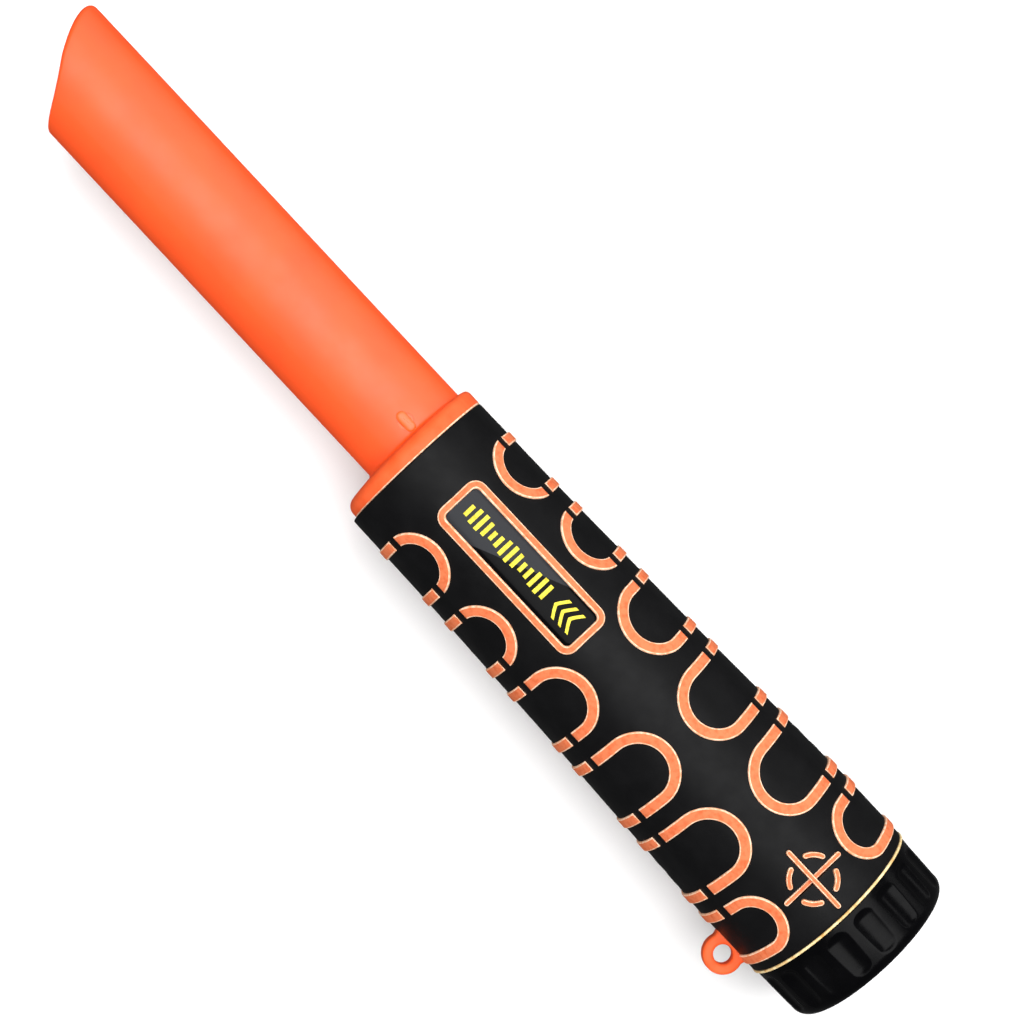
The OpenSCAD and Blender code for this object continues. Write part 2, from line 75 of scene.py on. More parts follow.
def node_box(name):
    """A node's lowest and highest corners, in millimetres."""
    low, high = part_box(name)
    return np.array(low) / MM, np.array(high) / MM


def mount(name):
    """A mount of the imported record."""
    return next(m for m in frame["record"]["mounts"] if m["name"] == name)


def outline_of(name, x_step=0.5):
    """Outer radius of a CAD node about the grip's axis, as (x, radius) columns."""
    points = np.array([v.co for v in frame["nodes"][name].data.vertices]) / MM
    radius = np.hypot(points[:, 1], points[:, 2])
    rows = {}
    for x, r in zip(np.round(points[:, 0] / x_step) * x_step, radius):
        rows[x] = max(rows.get(x, 0), r)
    xs = np.array(sorted(rows))
    return xs, np.array([rows[x] for x in xs])


SLEEVE_LOW, SLEEVE_HIGH = node_box("grip_sleeve")
SLEEVE_START, SLEEVE_END = SLEEVE_LOW[0], SLEEVE_HIGH[0]
TOTAL_LEN = node_box("probe_tube")[1][0]
CAP_HIGH = node_box("end_cap")[1]
CAP_R = CAP_HIGH[1]
SPIGOT_END = CAP_HIGH[0]
EYE = mount("lanyard_eye")
EYE_X, EYE_Y = EYE["pos_m"][0] / MM, EYE["pos_m"][1] / MM
EYE_HOLE_R = EYE["dims"]["r_mm"]
EYE_THICK = EYE["dims"]["length_mm"]
EYE_OUTER_R = node_box("housing_shell")[1][1] - EYE_Y
SHIELD_LOW, SHIELD_HIGH = node_box("coil_shield")
PROBE_Y = (SHIELD_LOW[1] + SHIELD_HIGH[1]) / 2
KEY_LOW, KEY_HIGH = node_box("power_key")
KEY_X = (KEY_LOW[0] + KEY_HIGH[0]) / 2
LENS_LOW, LENS_HIGH = node_box("led_lens")
LENS_X = (LENS_LOW[0] + LENS_HIGH[0]) / 2
FRAME_LOW, FRAME_HIGH = node_box("label_frame")

# Sizes that no box gives
PROBE_R = 11.7
PROBE_BORE_R = 9.7
TIP_WALL = 2.8
TIP_SLANT = 13.5
TIP_EDGE = (0.15, 2.1)
TIP_SWAY = (0.7, 0.3)
COLLAR_R = 16.4
COLLAR_SHIFT = -0.45
COLLAR_LEN = 3.9
SLEEVE_WALL = 1.4
LIP_R = 19.6
LIP_START = SLEEVE_START - 0.5
MOUTH_R = 16.5
MOUTH_END = 18.2
BATTERY_BORE_R = 15.2
BATTERY_BORE_END = 79.0
BOARD_BORE_R = 13.6
BOARD_BORE_END = SLEEVE_END - 1.5
RIB_RISE = 0.4
RIB_WIDTH = 2.3
RIB_SINK = 0.5

_grip_x, _grip_r = outline_of("grip_sleeve")


def grip_radius(x):
    """Outer radius of the rubber sleeve at x, smoothed over the CAD model's straight stretches."""
    spread = np.linspace(-5, 5, 11)
    x = np.asarray(x, float)
    samples = np.clip(x[..., None] + spread, SLEEVE_START, SLEEVE_END)
    return np.interp(samples, _grip_x, _grip_r).mean(axis=-1)


def on_grip(x, s, rise):
    """The point that lies at (x, s) on the unrolled grip, some height above the rubber."""
    r = grip_radius(x)
    angle = np.asarray(s) / r
    high = r + rise
    return np.stack([np.asarray(x, float) + 0 * angle, high * np.sin(angle), high * np.cos(angle)], -1)


def on_probe(x, s, rise):
    """The same for the probe tube, whose axis lies beside the grip's."""
    angle = np.asarray(s) / PROBE_R
    r = PROBE_R + rise
    return np.stack([np.asarray(x, float) + 0 * angle, PROBE_Y + r * np.sin(angle), r * np.cos(angle)], -1)


# ---------------------------------------------------------------- mesh helpers


def new_object(name, points, faces, smooth_deg=35, finishes=None):
    """A mesh object from points in millimetres, smooth where faces meet at less than an angle.

    finishes gives each face the number of its material.
    """
    mesh = bpy.data.meshes.new(name)
    mesh.from_pydata([tuple(p) for p in np.asarray(points) * MM], [], faces)
    if finishes is not None:
        mesh.polygons.foreach_set("material_index", finishes)
    obj = bpy.data.objects.new(name, mesh)
    bpy.context.scene.collection.objects.link(obj)
    bm = bmesh.new()
    bm.from_mesh(mesh)
    bmesh.ops.remove_doubles(bm, verts=bm.verts, dist=1e-7)
    bmesh.ops.recalc_face_normals(bm, faces=bm.faces)
    bm.to_mesh(mesh)
    bm.free()
    shade(obj, smooth_deg)
    return obj


def shade(obj, smooth_deg):
    """Smooth shading with sharp edges past an angle."""
    mesh = obj.data
    mesh.polygons.foreach_set("use_smooth", [True] * len(mesh.polygons))
    mesh.set_sharp_from_angle(angle=math.radians(smooth_deg))


def grid_faces(rows, columns, wrap_rows=False, wrap_columns=False):
    """Quads between the points of a grid, numbered row by row."""
    faces = []
    for i in range(rows if wrap_rows else rows - 1):
        for j in range(columns if wrap_columns else columns - 1):
            k, m = (i + 1) % rows, (j + 1) % columns
            faces.append((i * columns + j, i * columns + m, k * columns + m, k * columns + j))
    return faces


def loft(name, rings, wrap=False, smooth_deg=35):
    """A closed body through rings of equal point counts. Without wrap, its end rings are filled."""
    rings = np.array(rings)
    count, around = rings.shape[:2]
    faces = grid_faces(count, around, wrap_rows=wrap, wrap_columns=True)
    if not wrap:
        faces.append(tuple(range(around)))
        faces.append(tuple((count - 1) * around + k for k in reversed(range(around))))
    return new_object(name, rings.reshape(-1, 3), faces, smooth_deg)


def circle_angles(count):
    """Angles from the top line round towards +Y."""
    return np.linspace(0, 2 * math.pi, count, endpoint=False)


def turned(name, outline, around=128, centre=(0, 0), wrap=True, smooth_deg=35):
    """A solid of revolution about an axis along X, from (x, radius) points."""
    a = circle_angles(around)
    rings = [
        np.stack([np.full(around, x), centre[0] + r * np.sin(a), centre[1] + r * np.cos(a)], -1)
        for x, r in outline
    ]
    return loft(name, rings, wrap, smooth_deg)


def join(name, objects):
    """One object from several."""
    first = objects[0]
    bm = bmesh.new()
    for o in objects:
        bm.from_mesh(o.data)
    bm.to_mesh(first.data)
    bm.free()
    for o in objects[1:]:
        bpy.data.objects.remove(o)
    first.name = first.data.name = name
    return first


def cut(obj, cutters, operation="DIFFERENCE", smooth_deg=35):
    """Subtracts cutters from obj, or adds them, and removes them."""
    for cutter in cutters:
        step = obj.modifiers.new("cut", "BOOLEAN")
        step.object, step.operation, step.solver = cutter, operation, "EXACT"
    bpy.context.view_layer.update()
    graph = bpy.context.evaluated_depsgraph_get()
    mesh = bpy.data.meshes.new_from_object(obj.evaluated_get(graph))
    obj.modifiers.clear()
    obj.data = mesh
    for cutter in cutters:
        bpy.data.objects.remove(cutter)
    shade(obj, smooth_deg)
    return obj


def arc(radius, start_deg, end_deg, steps):
    """Points (cos, sin) * radius from one angle to another, as two columns."""
    a = np.radians(np.linspace(start_deg, end_deg, steps))
    return np.stack([radius * np.cos(a), radius * np.sin(a)], -1)


def round_rect(length, width, radius, grow, steps=9):
    """A closed rectangle with round corners, centred on the origin and grown outwards."""
    corner = max(radius + grow, 0.02)
    half_x, half_y = length / 2 - radius, width / 2 - radius
    inset = min(radius + grow, 0) if radius + grow < 0 else 0
    points = []
    for k, (sx, sy) in enumerate([(1, 1), (-1, 1), (-1, -1), (1, -1)]):
        centre = np.array([sx * (half_x + inset), sy * (half_y + inset)])
        points.append(centre + arc(corner, 90 * k, 90 * k + 90, steps))
    return np.concatenate(points)


def capsule(length, width, grow, steps=9):
    """A closed bar with round ends, along the first axis."""
    return round_rect(length, width, width / 2 - 1e-3, grow, steps)


def turn(points, degrees):
    """Points turned in the unrolled plane."""
    a = math.radians(degrees)
    x, y = points[..., 0], points[..., 1]
    return np.stack([x * math.cos(a) - y * math.sin(a), x * math.sin(a) + y * math.cos(a)], -1)


def plateau(name, outline, steps, centre, place=on_grip, smooth_deg=50):
    """A raised patch. outline(grow) is a closed line, and steps are (grow, rise) pairs from foot to top.

    Its sides and rounded edge take material 1, which on the key's marks is a painted edge highlight, and its top takes
    material 0.
    """
    rings = []
    for grow, rise in steps:
        line = outline(grow) + np.array(centre)
        rings.append(place(line[:, 0], line[:, 1], rise))
    made = loft(name, rings, smooth_deg=smooth_deg)
    top = rings[-1].mean(axis=0)
    crown = np.linalg.norm(rings[-1] - top, axis=1).max() + 1e-3
    for face in made.data.polygons:
        on_top = all((made.data.vertices[v].co / MM - Vector(top)).length < crown for v in face.vertices)
        face.material_index = 0 if on_top and len(face.vertices) > 4 else 1
    return made


def rounded_top(width, rise, sink, radius, steps=5, crown=0.0):
    """Half of a rib's section as (distance in from its edge, height), from foot to near its middle."""
    points = [(0.0, -sink), (0.0, rise - radius)]
    for k in range(1, steps + 1):
        a = math.pi / 2 * k / steps
        points.append((radius * (1 - math.cos(a)), rise - radius + radius * math.sin(a)))
    points.append((width / 2, rise + crown))
    return points


def ribbon(name, track, width, rise, sink, radius, closed=False, place=on_grip, end_round=0.25):
    """A rib along a track. track(offset) gives the line that far to one side of its middle."""
    half = rounded_top(width, rise, sink, radius)
    section = [(-width / 2 + d, h) for d, h in half] + [(width / 2 - d, h) for d, h in reversed(half[:-1])]
    lines = [track(u) for u, _ in section]
    count = len(lines[0])
    points = np.zeros((count, len(section), 3))
    for j, ((u, h), line) in enumerate(zip(section, lines)):
        line = np.array(line)
        heights = np.full(count, h)
        if not closed and h > rise - radius:
            heights[0] = heights[-1] = min(h, rise - end_round * 0.6)
        points[:, j] = place(line[:, 0], line[:, 1], heights)
    faces = grid_faces(count, len(section), wrap_rows=closed, wrap_columns=True)
    flat = [j for j, (_, h) in enumerate(section) if h >= rise - 1e-6]
    # Faces off the flat top take material 1, which on the ribs and the frame is the painted edge highlight.
    finishes = [0 if f[0] % len(section) in flat[:-1] else 1 for f in faces]
    if not closed:
        faces.append(tuple(range(len(section))))
        faces.append(tuple((count - 1) * len(section) + k for k in reversed(range(len(section)))))
        finishes += [1, 1]
    return new_object(name, points.reshape(-1, 3), faces, 50, finishes)


# ---------------------------------------------------------------- materials


# The diagonal line across the badge beyond which its black is painted lighter: a painted reflection.
BADGE_REFLECTION_LINE = (92.0, -4.4, 112.0, 4.4)


def srgb(r, g, b):
    """Linear colour from 0 to 255 display values."""
    def linear(v):
        v /= 255
        return v / 12.92 if v <= 0.04045 else ((v + 0.055) / 1.055) ** 2.4
    return (linear(r), linear(g), linear(b), 1)


class Surface:
    """A Principled material and the nodes that vary it, in the object's own coordinates, in metres."""

    def __init__(self, name, colour, roughness, metallic=0.0, **sockets):
        self.material = bpy.data.materials.new(name)
        self.material.use_nodes = True
        self.tree = self.material.node_tree
        self.shader = self.tree.nodes["Principled BSDF"]
        self.colour, self.roughness = colour, roughness
        self.shader.inputs["Base Color"].default_value = colour
        self.shader.inputs["Roughness"].default_value = roughness
        self.shader.inputs["Metallic"].default_value = metallic
        for socket, value in sockets.items():
            self.shader.inputs[socket.replace("_", " ")].default_value = value
        self.height = None

    def node(self, kind, **settings):
        made = self.tree.nodes.new(kind)
        for key, value in settings.items():
            setattr(made, key, value)
        return made

    def link(self, source, target):
        self.tree.links.new(source, target)

    def noise(self, grain_mm, detail=3.0, stretch=(1, 1, 1), rough=0.55):
        """A noise from 0 to 1 whose blobs are about grain_mm across."""
        coords = self.node("ShaderNodeTexCoord")
        scale = self.node("ShaderNodeMapping")
        scale.inputs["Scale"].default_value = [s / (grain_mm * MM) for s in stretch]
        noise = self.node("ShaderNodeTexNoise")
        noise.inputs["Scale"].default_value = 1.0
        noise.inputs["Detail"].default_value = detail
        noise.inputs["Roughness"].default_value = rough
        self.link(coords.outputs["Object"], scale.inputs["Vector"])
        self.link(scale.outputs["Vector"], noise.inputs["Vector"])
        return noise.outputs["Fac"]

    def ramp(self, value, low, high, out_low, out_high):
        """Maps value from low..high to out_low..out_high."""
        mapped = self.node("ShaderNodeMapRange")
        for key, number in (("From Min", low), ("From Max", high), ("To Min", out_low), ("To Max", out_high)):
            mapped.inputs[key].default_value = number
        self.link(value, mapped.inputs["Value"])
        return mapped.outputs["Result"]

    def vary_roughness(self, amount, grain_mm, **kind):
        self.link(
            self.ramp(self.noise(grain_mm, **kind), 0.3, 0.7, self.roughness - amount, self.roughness + amount),
            self.shader.inputs["Roughness"],
        )
        return self

    def vary_colour(self, other, grain_mm, low=0.4, high=0.65, **kind):
        """Blends towards another colour in blobs of noise."""
        mix = self.node("ShaderNodeMix", data_type="RGBA")
        before = self.shader.inputs["Base Color"].links
        source = before[0].from_socket if before else None
        a_socket, b_socket = (next(s for s in mix.inputs if s.type == "RGBA" and s.name == n) for n in "AB")
        a_socket.default_value = self.colour
        b_socket.default_value = other
        if source:
            self.link(source, a_socket)
        self.link(self.ramp(self.noise(grain_mm, **kind), low, high, 0, 1), mix.inputs["Factor"])
        result = next(s for s in mix.outputs if s.type == "RGBA")
        self.link(result, self.shader.inputs["Base Color"])
        return self

    def painted_reflection_side(self, other, line):
        """Painted reflection: a lighter colour on one side of a line from (x0, y0) to (x1, y1), in millimetres, seen
        from above.
        """
        x0, y0, x1, y1 = line
        coords = self.node("ShaderNodeTexCoord")
        across = self.node("ShaderNodeVectorMath", operation="DOT_PRODUCT")
        length = math.hypot(x1 - x0, y1 - y0)
        normal = ((y1 - y0) / length, -(x1 - x0) / length, 0)
        across.inputs[1].default_value = normal
        self.link(coords.outputs["Object"], across.inputs[0])
        level = (x0 * normal[0] + y0 * normal[1]) * MM
        side = self.ramp(across.outputs["Value"], level - 0.00005, level + 0.00005, 0, 1)
        mix = self.node("ShaderNodeMix", data_type="RGBA")
        a_socket, b_socket = (next(s for s in mix.inputs if s.type == "RGBA" and s.name == n) for n in "AB")
        a_socket.default_value = self.colour
        b_socket.default_value = other
        self.link(side, mix.inputs["Factor"])
        self.link(next(s for s in mix.outputs if s.type == "RGBA"), self.shader.inputs["Base Color"])
        return self

    def bump(self, strength, depth_mm, grain_mm, **kind):
        """Adds relief from noise."""
        bump = self.node("ShaderNodeBump")
        bump.inputs["Strength"].default_value = strength
        bump.inputs["Distance"].default_value = depth_mm * MM
        self.link(self.noise(grain_mm, **kind), bump.inputs["Height"])
        if self.height:
            self.link(self.height, bump.inputs["Normal"])
        self.height = bump.outputs["Normal"]
        self.link(self.height, self.shader.inputs["Normal"])
        return self


def paint(obj, *surfaces):
    """Gives an object its materials. With one, all its faces take it."""
    finishes = [face.material_index for face in obj.data.polygons]
    obj.data.materials.clear()
    for surface in surfaces:
        obj.data.materials.append(surface.material)
    obj.data.polygons.foreach_set("material_index", [min(f, len(surfaces) - 1) for f in finishes])
    return obj


def finish_piece(obj, body, slot, *nodes):
    """Rides a piece on its body and lets it stand for CAD nodes, which it hides; slot is not used."""
    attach(obj, body)
    if nodes:
        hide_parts(*nodes)
    return obj


ORANGE_ABS = (
    Surface("orange_abs", srgb(252, 82, 4), 0.57, Specular_IOR_Level=0.9)
    .vary_colour(srgb(249, 76, 2), 14, 0.35, 0.7)
    .vary_roughness(0.05, 6)
    .bump(0.1, 0.02, 0.35, detail=2)
    .bump(0.05, 0.05, 9, detail=1)
)
ORANGE_SATIN = (
    Surface("orange_satin", srgb(238, 96, 48), 0.55, Specular_IOR_Level=0.25)
    .vary_colour(srgb(230, 84, 34), 3, 0.4, 0.75, detail=4)
    .vary_roughness(0.06, 2)
    .bump(0.2, 0.03, 0.5, detail=4)
)
ORANGE_RUBBER = (
    Surface("orange_rubber", srgb(222, 120, 78), 0.6, Specular_IOR_Level=0.15)
    .vary_colour(srgb(206, 92, 50), 1.1, 0.45, 0.75, detail=4)
    .vary_roughness(0.06, 1.5)
    .bump(0.3, 0.03, 0.5, detail=4)
)
# Pale cream painted on the sides and rounded edges of the orange marks, and as a thin line at the collar's foot: a
# painted edge highlight, with a mottle of its own.
RIB_EDGE_HIGHLIGHT = (
    Surface("orange_rubber_edge_highlight", srgb(250, 210, 180), 0.5, Specular_IOR_Level=0.15)
    .vary_colour(srgb(236, 160, 116), 0.9, 0.4, 0.65)
    .bump(0.2, 0.02, 0.4)
)
BLACK_RUBBER = (
    Surface("black_rubber", srgb(11, 11, 12), 0.5, Specular_IOR_Level=0.12)
    .vary_colour(srgb(15, 15, 16), 5, 0.4, 0.7)
    .vary_roughness(0.06, 3.5, detail=5)
    .bump(0.25, 0.025, 0.28, detail=3)
    .bump(0.06, 0.06, 7, detail=1)
)
BLACK_GLOSS = (
    Surface("black_gloss", srgb(4, 4, 5), 0.25, Specular_IOR_Level=0.08)
    .vary_colour(srgb(8, 8, 9), 9, 0.45, 0.7)
    .vary_roughness(0.06, 2.5, detail=5)
    .bump(0.08, 0.02, 0.9, detail=3)
)
# The badge's black carries a painted reflection: a lighter charcoal field over one side of a diagonal line.
BADGE_GLOSS = (
    Surface("badge_gloss", srgb(7, 7, 8), 0.18, Specular_IOR_Level=0.06)
    .painted_reflection_side(srgb(48, 49, 52), BADGE_REFLECTION_LINE)
    .vary_roughness(0.03, 1.4)
    .bump(0.03, 0.01, 4)
)
YELLOW_INK = (
    Surface("yellow_ink", srgb(232, 218, 66), 0.4, Specular_IOR_Level=0.2)
    .vary_colour(srgb(196, 172, 34), 0.7, 0.45, 0.7)
    .bump(0.2, 0.01, 0.3)
)
# The housing's orange lip at the sleeve's start, drawn pale cream-gold with a darker mottle: a painted highlight.
LIP_HIGHLIGHT = (
    Surface("lip_highlight", srgb(244, 222, 170), 0.4, Specular_IOR_Level=0.2)
    .vary_colour(srgb(206, 156, 84), 1.6, 0.4, 0.7)
    .bump(0.1, 0.02, 0.5)
)
LENS = (
    Surface("lens", srgb(252, 104, 40), 0.3, Transmission_Weight=0.15, IOR=1.49, Specular_IOR_Level=0.5)
    .vary_roughness(0.05, 1.0, stretch=(0.2, 1, 1))
    .bump(0.2, 0.03, 0.6, stretch=(0.15, 1, 1))
)

# ---------------------------------------------------------------- housing


def probe_distance(angle, radius):
    """Distance from the grip's axis to the probe's wall, seen at an angle from the top line."""
    return PROBE_Y * np.sin(angle) + np.sqrt(radius**2 - (PROBE_Y * np.cos(angle)) ** 2)


def collar_distance(angle):
    return COLLAR_SHIFT * np.sin(angle) + np.sqrt(COLLAR_R**2 - (COLLAR_SHIFT * np.cos(angle)) ** 2)


def round_at(x, angle, radius):
    """Points at a distance from the grip's axis."""
    return np.stack([x + 0 * angle, radius * np.sin(angle), radius * np.cos(angle)], -1)


def tip_x(y, set_back=0.0):
    """x of the slanted end of the probe: a little hollow at its short side and a little full at its point."""
    share = np.clip((PROBE_Y + PROBE_R - np.asarray(y)) / (2 * PROBE_R), 0, 1)
    sway = np.where(share < 0.5, TIP_SWAY[0], TIP_SWAY[1]) * np.sin(2 * math.pi * share)
    return TOTAL_LEN - TIP_SLANT * (1 - share) - sway - set_back


def tip_edge(beside):
    """Radius of the tip's rim: sharp at its short side and rounder at its point."""
    share = np.clip((PROBE_R - beside) / (2 * PROBE_R), 0, 1)
    return TIP_EDGE[0] + (TIP_EDGE[1] - TIP_EDGE[0]) * share


def tip_rings(angle):
    """Rings of the closed tip, from its middle out to the straight tube."""
    rim = round_at(0, angle, probe_distance(angle, PROBE_R))
    from_axis = rim[:, 1:] - np.array([PROBE_Y, 0])
    edge = tip_edge(from_axis[:, 0])
    rings = []
    for share in (0.02, 0.12, 0.24, 0.36, 0.48, 0.6, 0.72, 0.84, 0.93):
        yz = np.array([PROBE_Y, 0]) + from_axis * (share * (1 - edge / PROBE_R))[:, None]
        rings.append(np.column_stack([tip_x(yz[:, 0]), yz]))
    for a in np.radians(np.linspace(90, 0, 10)):
        yz = np.array([PROBE_Y, 0]) + from_axis * (1 - edge * (1 - math.cos(a)) / PROBE_R)[:, None]
        rings.append(np.column_stack([tip_x(yz[:, 0]) - edge * (1 - math.sin(a)), yz]))
    return rings, rim, edge


def housing_rings(around=224):
    """The housing as one skin: tip, probe, collar, tube, lip, and back along its bores to the tip."""
    angle = circle_angles(around)
    collar_start = SLEEVE_END
    collar_end = collar_start + COLLAR_LEN
    rings, rim, tip_rim = tip_rings(angle)
    p, c = probe_distance(angle, PROBE_R), collar_distance(angle)
    room = c - p
    fillet = np.minimum(0.8, 0.2 * room)
    edge = np.minimum(2.2, 0.56 * room)
    slant = 0.15 * (room - fillet - edge)
    root = collar_end + fillet
    straight_end = tip_x(rim[:, 1]) - tip_rim
    for share in np.linspace(0.985, 0, 26):
        rings.append(round_at(root + (straight_end - root) * share, angle, p))
    for a in np.radians(np.linspace(12, 90, 8)):
        rings.append(round_at(collar_end + fillet * (1 - np.sin(a)), angle, p + fillet * (1 - np.cos(a))))
    for a in np.radians(np.linspace(80, 0, 10)):
        rings.append(round_at(collar_end - slant - edge * (1 - np.sin(a)), angle, c - edge * (1 - np.cos(a))))
    rings.append(round_at(collar_start + 0.3, angle, c))
    rings.append(round_at(collar_start + 0.12, angle, c))
    rings.append(round_at(collar_start, angle, c - 0.12))
    core = grip_radius(collar_start) - SLEEVE_WALL
    rings.append(round_at(collar_start, angle, core + 0 * angle))
    for x in np.linspace(collar_start, SLEEVE_START, 24)[1:]:
        rings.append(round_at(x, angle, grip_radius(x) - SLEEVE_WALL - 0.02 + 0 * angle))
    lip = [
        (SLEEVE_START, LIP_R - 0.12), (SLEEVE_START - 0.12, LIP_R), (LIP_START + 0.12, LIP_R),
        (LIP_START, LIP_R - 0.12), (LIP_START, MOUTH_R + 0.25), (LIP_START + 0.25, MOUTH_R),
        (MOUTH_END, MOUTH_R), (MOUTH_END, BATTERY_BORE_R), (BATTERY_BORE_END, BATTERY_BORE_R),
        (BATTERY_BORE_END, BOARD_BORE_R), (BOARD_BORE_END, BOARD_BORE_R),
    ]
    rings += [round_at(x, angle, r + 0 * angle) for x, r in lip]
    bore = probe_distance(angle, PROBE_BORE_R)
    bore_rim = round_at(0, angle, bore)
    rings.append(round_at(BOARD_BORE_END, angle, bore))
    for share in (1, 0.8, 0.6, 0.4, 0.2, 0.02):
        yz = np.array([PROBE_Y, 0]) + (bore_rim[:, 1:] - np.array([PROBE_Y, 0])) * share
        rings.append(np.column_stack([tip_x(yz[:, 0], TIP_WALL), yz]))
    return rings


def upright_prism(name, outline, centre, low, high):
    """A cutter that stands along Z."""
    points = [(x + centre[0], y + centre[1]) for x, y in outline]
    rings = [[(x, y, z) for x, y in points] for z in (low, high)]
    return loft(name, rings)


def eye_outline(grow=0.0, steps=14):
    """The eye's outline: a round head that flares in hollow curves into a base on the tube."""
    head = EYE_OUTER_R + grow
    half_base, base_y = 6.2, 16.9
    flare = 3.4
    points = []
    neck_y = EYE_Y - head * math.sin(math.radians(18))
    for a in np.radians(np.linspace(-18, 198, 3 * steps)):
        points.append((EYE_X + head * math.cos(a), EYE_Y + head * math.sin(a)))
    for t in np.linspace(0, 1, steps)[1:]:
        points.append((EYE_X - head * math.cos(math.radians(18)) - flare * t**2.2 * (half_base - 3.6) / flare,
                       neck_y + (base_y - neck_y) * t))
    for t in np.linspace(1, 0, steps)[:-1]:
        points.append((EYE_X + head * math.cos(math.radians(18)) + flare * t**2.2 * (half_base - 3.6) / flare,
                       neck_y + (base_y - neck_y) * t))
    return points


def make_eye():
    """The lanyard eye, with rounded edges and a hole whose rims are rounded too."""
    curve = bpy.data.curves.new("eye_outline", "CURVE")
    curve.dimensions, curve.fill_mode = "2D", "BOTH"
    bevel = 0.7
    hole = [(EYE_X + x, EYE_Y + y) for x, y in arc(EYE_HOLE_R + bevel, 0, 352.5, 48)]
    for line in (eye_outline(-bevel), hole):
        spline = curve.splines.new("POLY")
        spline.points.add(len(line) - 1)
        for point, (x, y) in zip(spline.points, line):
            point.co = (x * MM, y * MM, 0, 1)
        spline.use_cyclic_u = True
    curve.extrude = (EYE_THICK / 2 - bevel) * MM
    curve.bevel_depth, curve.bevel_resolution = bevel * MM, 4
    obj = bpy.data.objects.new("eye", curve)
    bpy.context.scene.collection.objects.link(obj)
    bpy.context.view_layer.update()
    mesh = bpy.data.meshes.new_from_object(obj.evaluated_get(bpy.context.evaluated_depsgraph_get()))
    bpy.data.objects.remove(obj)
    made = bpy.data.objects.new("lanyard_eye", mesh)
    bpy.context.scene.collection.objects.link(made)
    shade(made, 40)
    return made


def make_housing():
    """Orange housing, with the key's opening, the lens's hole and the lanyard eye."""
    housing = loft("probe_housing", housing_rings(), wrap=True, smooth_deg=32)
    key_hole = upright_prism("key_hole", arc(7.6, 0, 352.5, 48), (KEY_X, 0), 12, 22)
    lens_hole = upright_prism("lens_hole", arc(1.6, 0, 345, 24), (LENS_X, PROBE_Y), 6, 14)
    cut(housing, [key_hole, lens_hole], smooth_deg=32)
    paint(housing, ORANGE_ABS, LIP_HIGHLIGHT, ORANGE_SATIN, RIB_EDGE_HIGHLIGHT)
    for face in housing.data.polygons:
        x, y, z = face.center / MM
        # The lip at the sleeve's start takes the painted highlight.
        if LIP_START - 0.2 < x < SLEEVE_START + 0.01 and math.hypot(y, z) > MOUTH_R + 1:
            face.material_index = 1
        # A thin pale cream line at the collar's foot: a painted highlight.
        elif SLEEVE_END - 0.01 < x < SLEEVE_END + 0.25:
            face.material_index = 3
        elif SLEEVE_END < x < SLEEVE_END + COLLAR_LEN + 0.01:
            face.material_index = 2
    finish_piece(housing, "housing", "orange_housing", "housing_shell", "probe_tube")
    eye = paint(make_eye(), ORANGE_SATIN)
    finish_piece(eye, "housing", "orange_housing")


# ---------------------------------------------------------------- rubber sleeve and its raised marks

FRAME_CENTRE = ((FRAME_LOW[0] + FRAME_HIGH[0]) / 2, 0.0)
FRAME_LENGTH = FRAME_HIGH[0] - FRAME_LOW[0]
FRAME_R = float(grip_radius(FRAME_CENTRE[0]))
FRAME_WIDTH = 2 * FRAME_R * math.asin(min(1, FRAME_HIGH[1] / FRAME_R))
FRAME_ROUND = 2.6
FRAME_STROKE = 1.55

# Middle along the grip, half width, and the crown's angle from the top line
HORSESHOES = [
    (21.9, 6.6, 25.0), (39.1, 7.85, 7.5), (58.4, 7.85, 7.5),
    (77.7, 7.75, 17.5), (96.6, 7.25, 30.0), (115.3, 7.25, 30.0),
]
LEG_END = 52.5
TIP_START = 60.5

KEY_ARM = 7.25
KEY_STROKE = 1.0
KEY_ARC_R = 4.6
KEY_ARC_SPAN = 42
SLOT_GAP = 0.15


def horseshoe_track(shoe, side, back, turns=26):
    """track(offset) for a crown with its legs. side is the row, +1 or -1. back is for the underside."""
    x_mid, half_w, crown = shoe
    r = float(grip_radius(x_mid))
    middle = half_w - RIB_WIDTH / 2
    centre = r * math.radians(crown) + half_w
    end = r * math.radians(LEG_END)

    def track(offset):
        radius = middle + offset
        reach = math.acos((centre - end) / radius) if end < centre else math.pi / 2
        line = [
            (x_mid + radius * math.sin(t), centre - radius * math.cos(t))
            for t in np.linspace(-reach, reach, turns)
        ]
        if end > centre:
            legs = np.linspace(end, centre, 7)[:-1]
            line = [(x_mid - radius, s) for s in legs] + line + [(x_mid + radius, s) for s in legs[::-1]]
        return place_row(line, r, side, back)

    return track


def place_row(line, r, side, back):
    """Moves a line drawn on the +Y side's front to another row."""
    out = []
    for x, s in line:
        s = math.pi * r - s if back else s
        out.append((x, side * s))
    return out


def tip_track(shoe, x_side, side):
    """track(offset) for a pole tip's bar round the side of the grip."""
    x_mid, half_w, _ = shoe
    r = float(grip_radius(x_mid))
    x = x_mid + x_side * (half_w - RIB_WIDTH / 2)
    unbroken = shoe is HORSESHOES[0] and x_side < 0
    first = LEG_END - 1.5 if unbroken else TIP_START

    def track(offset):
        return [(x + offset, side * r * math.radians(a)) for a in np.linspace(first, 180 - first, 22)]

    return track


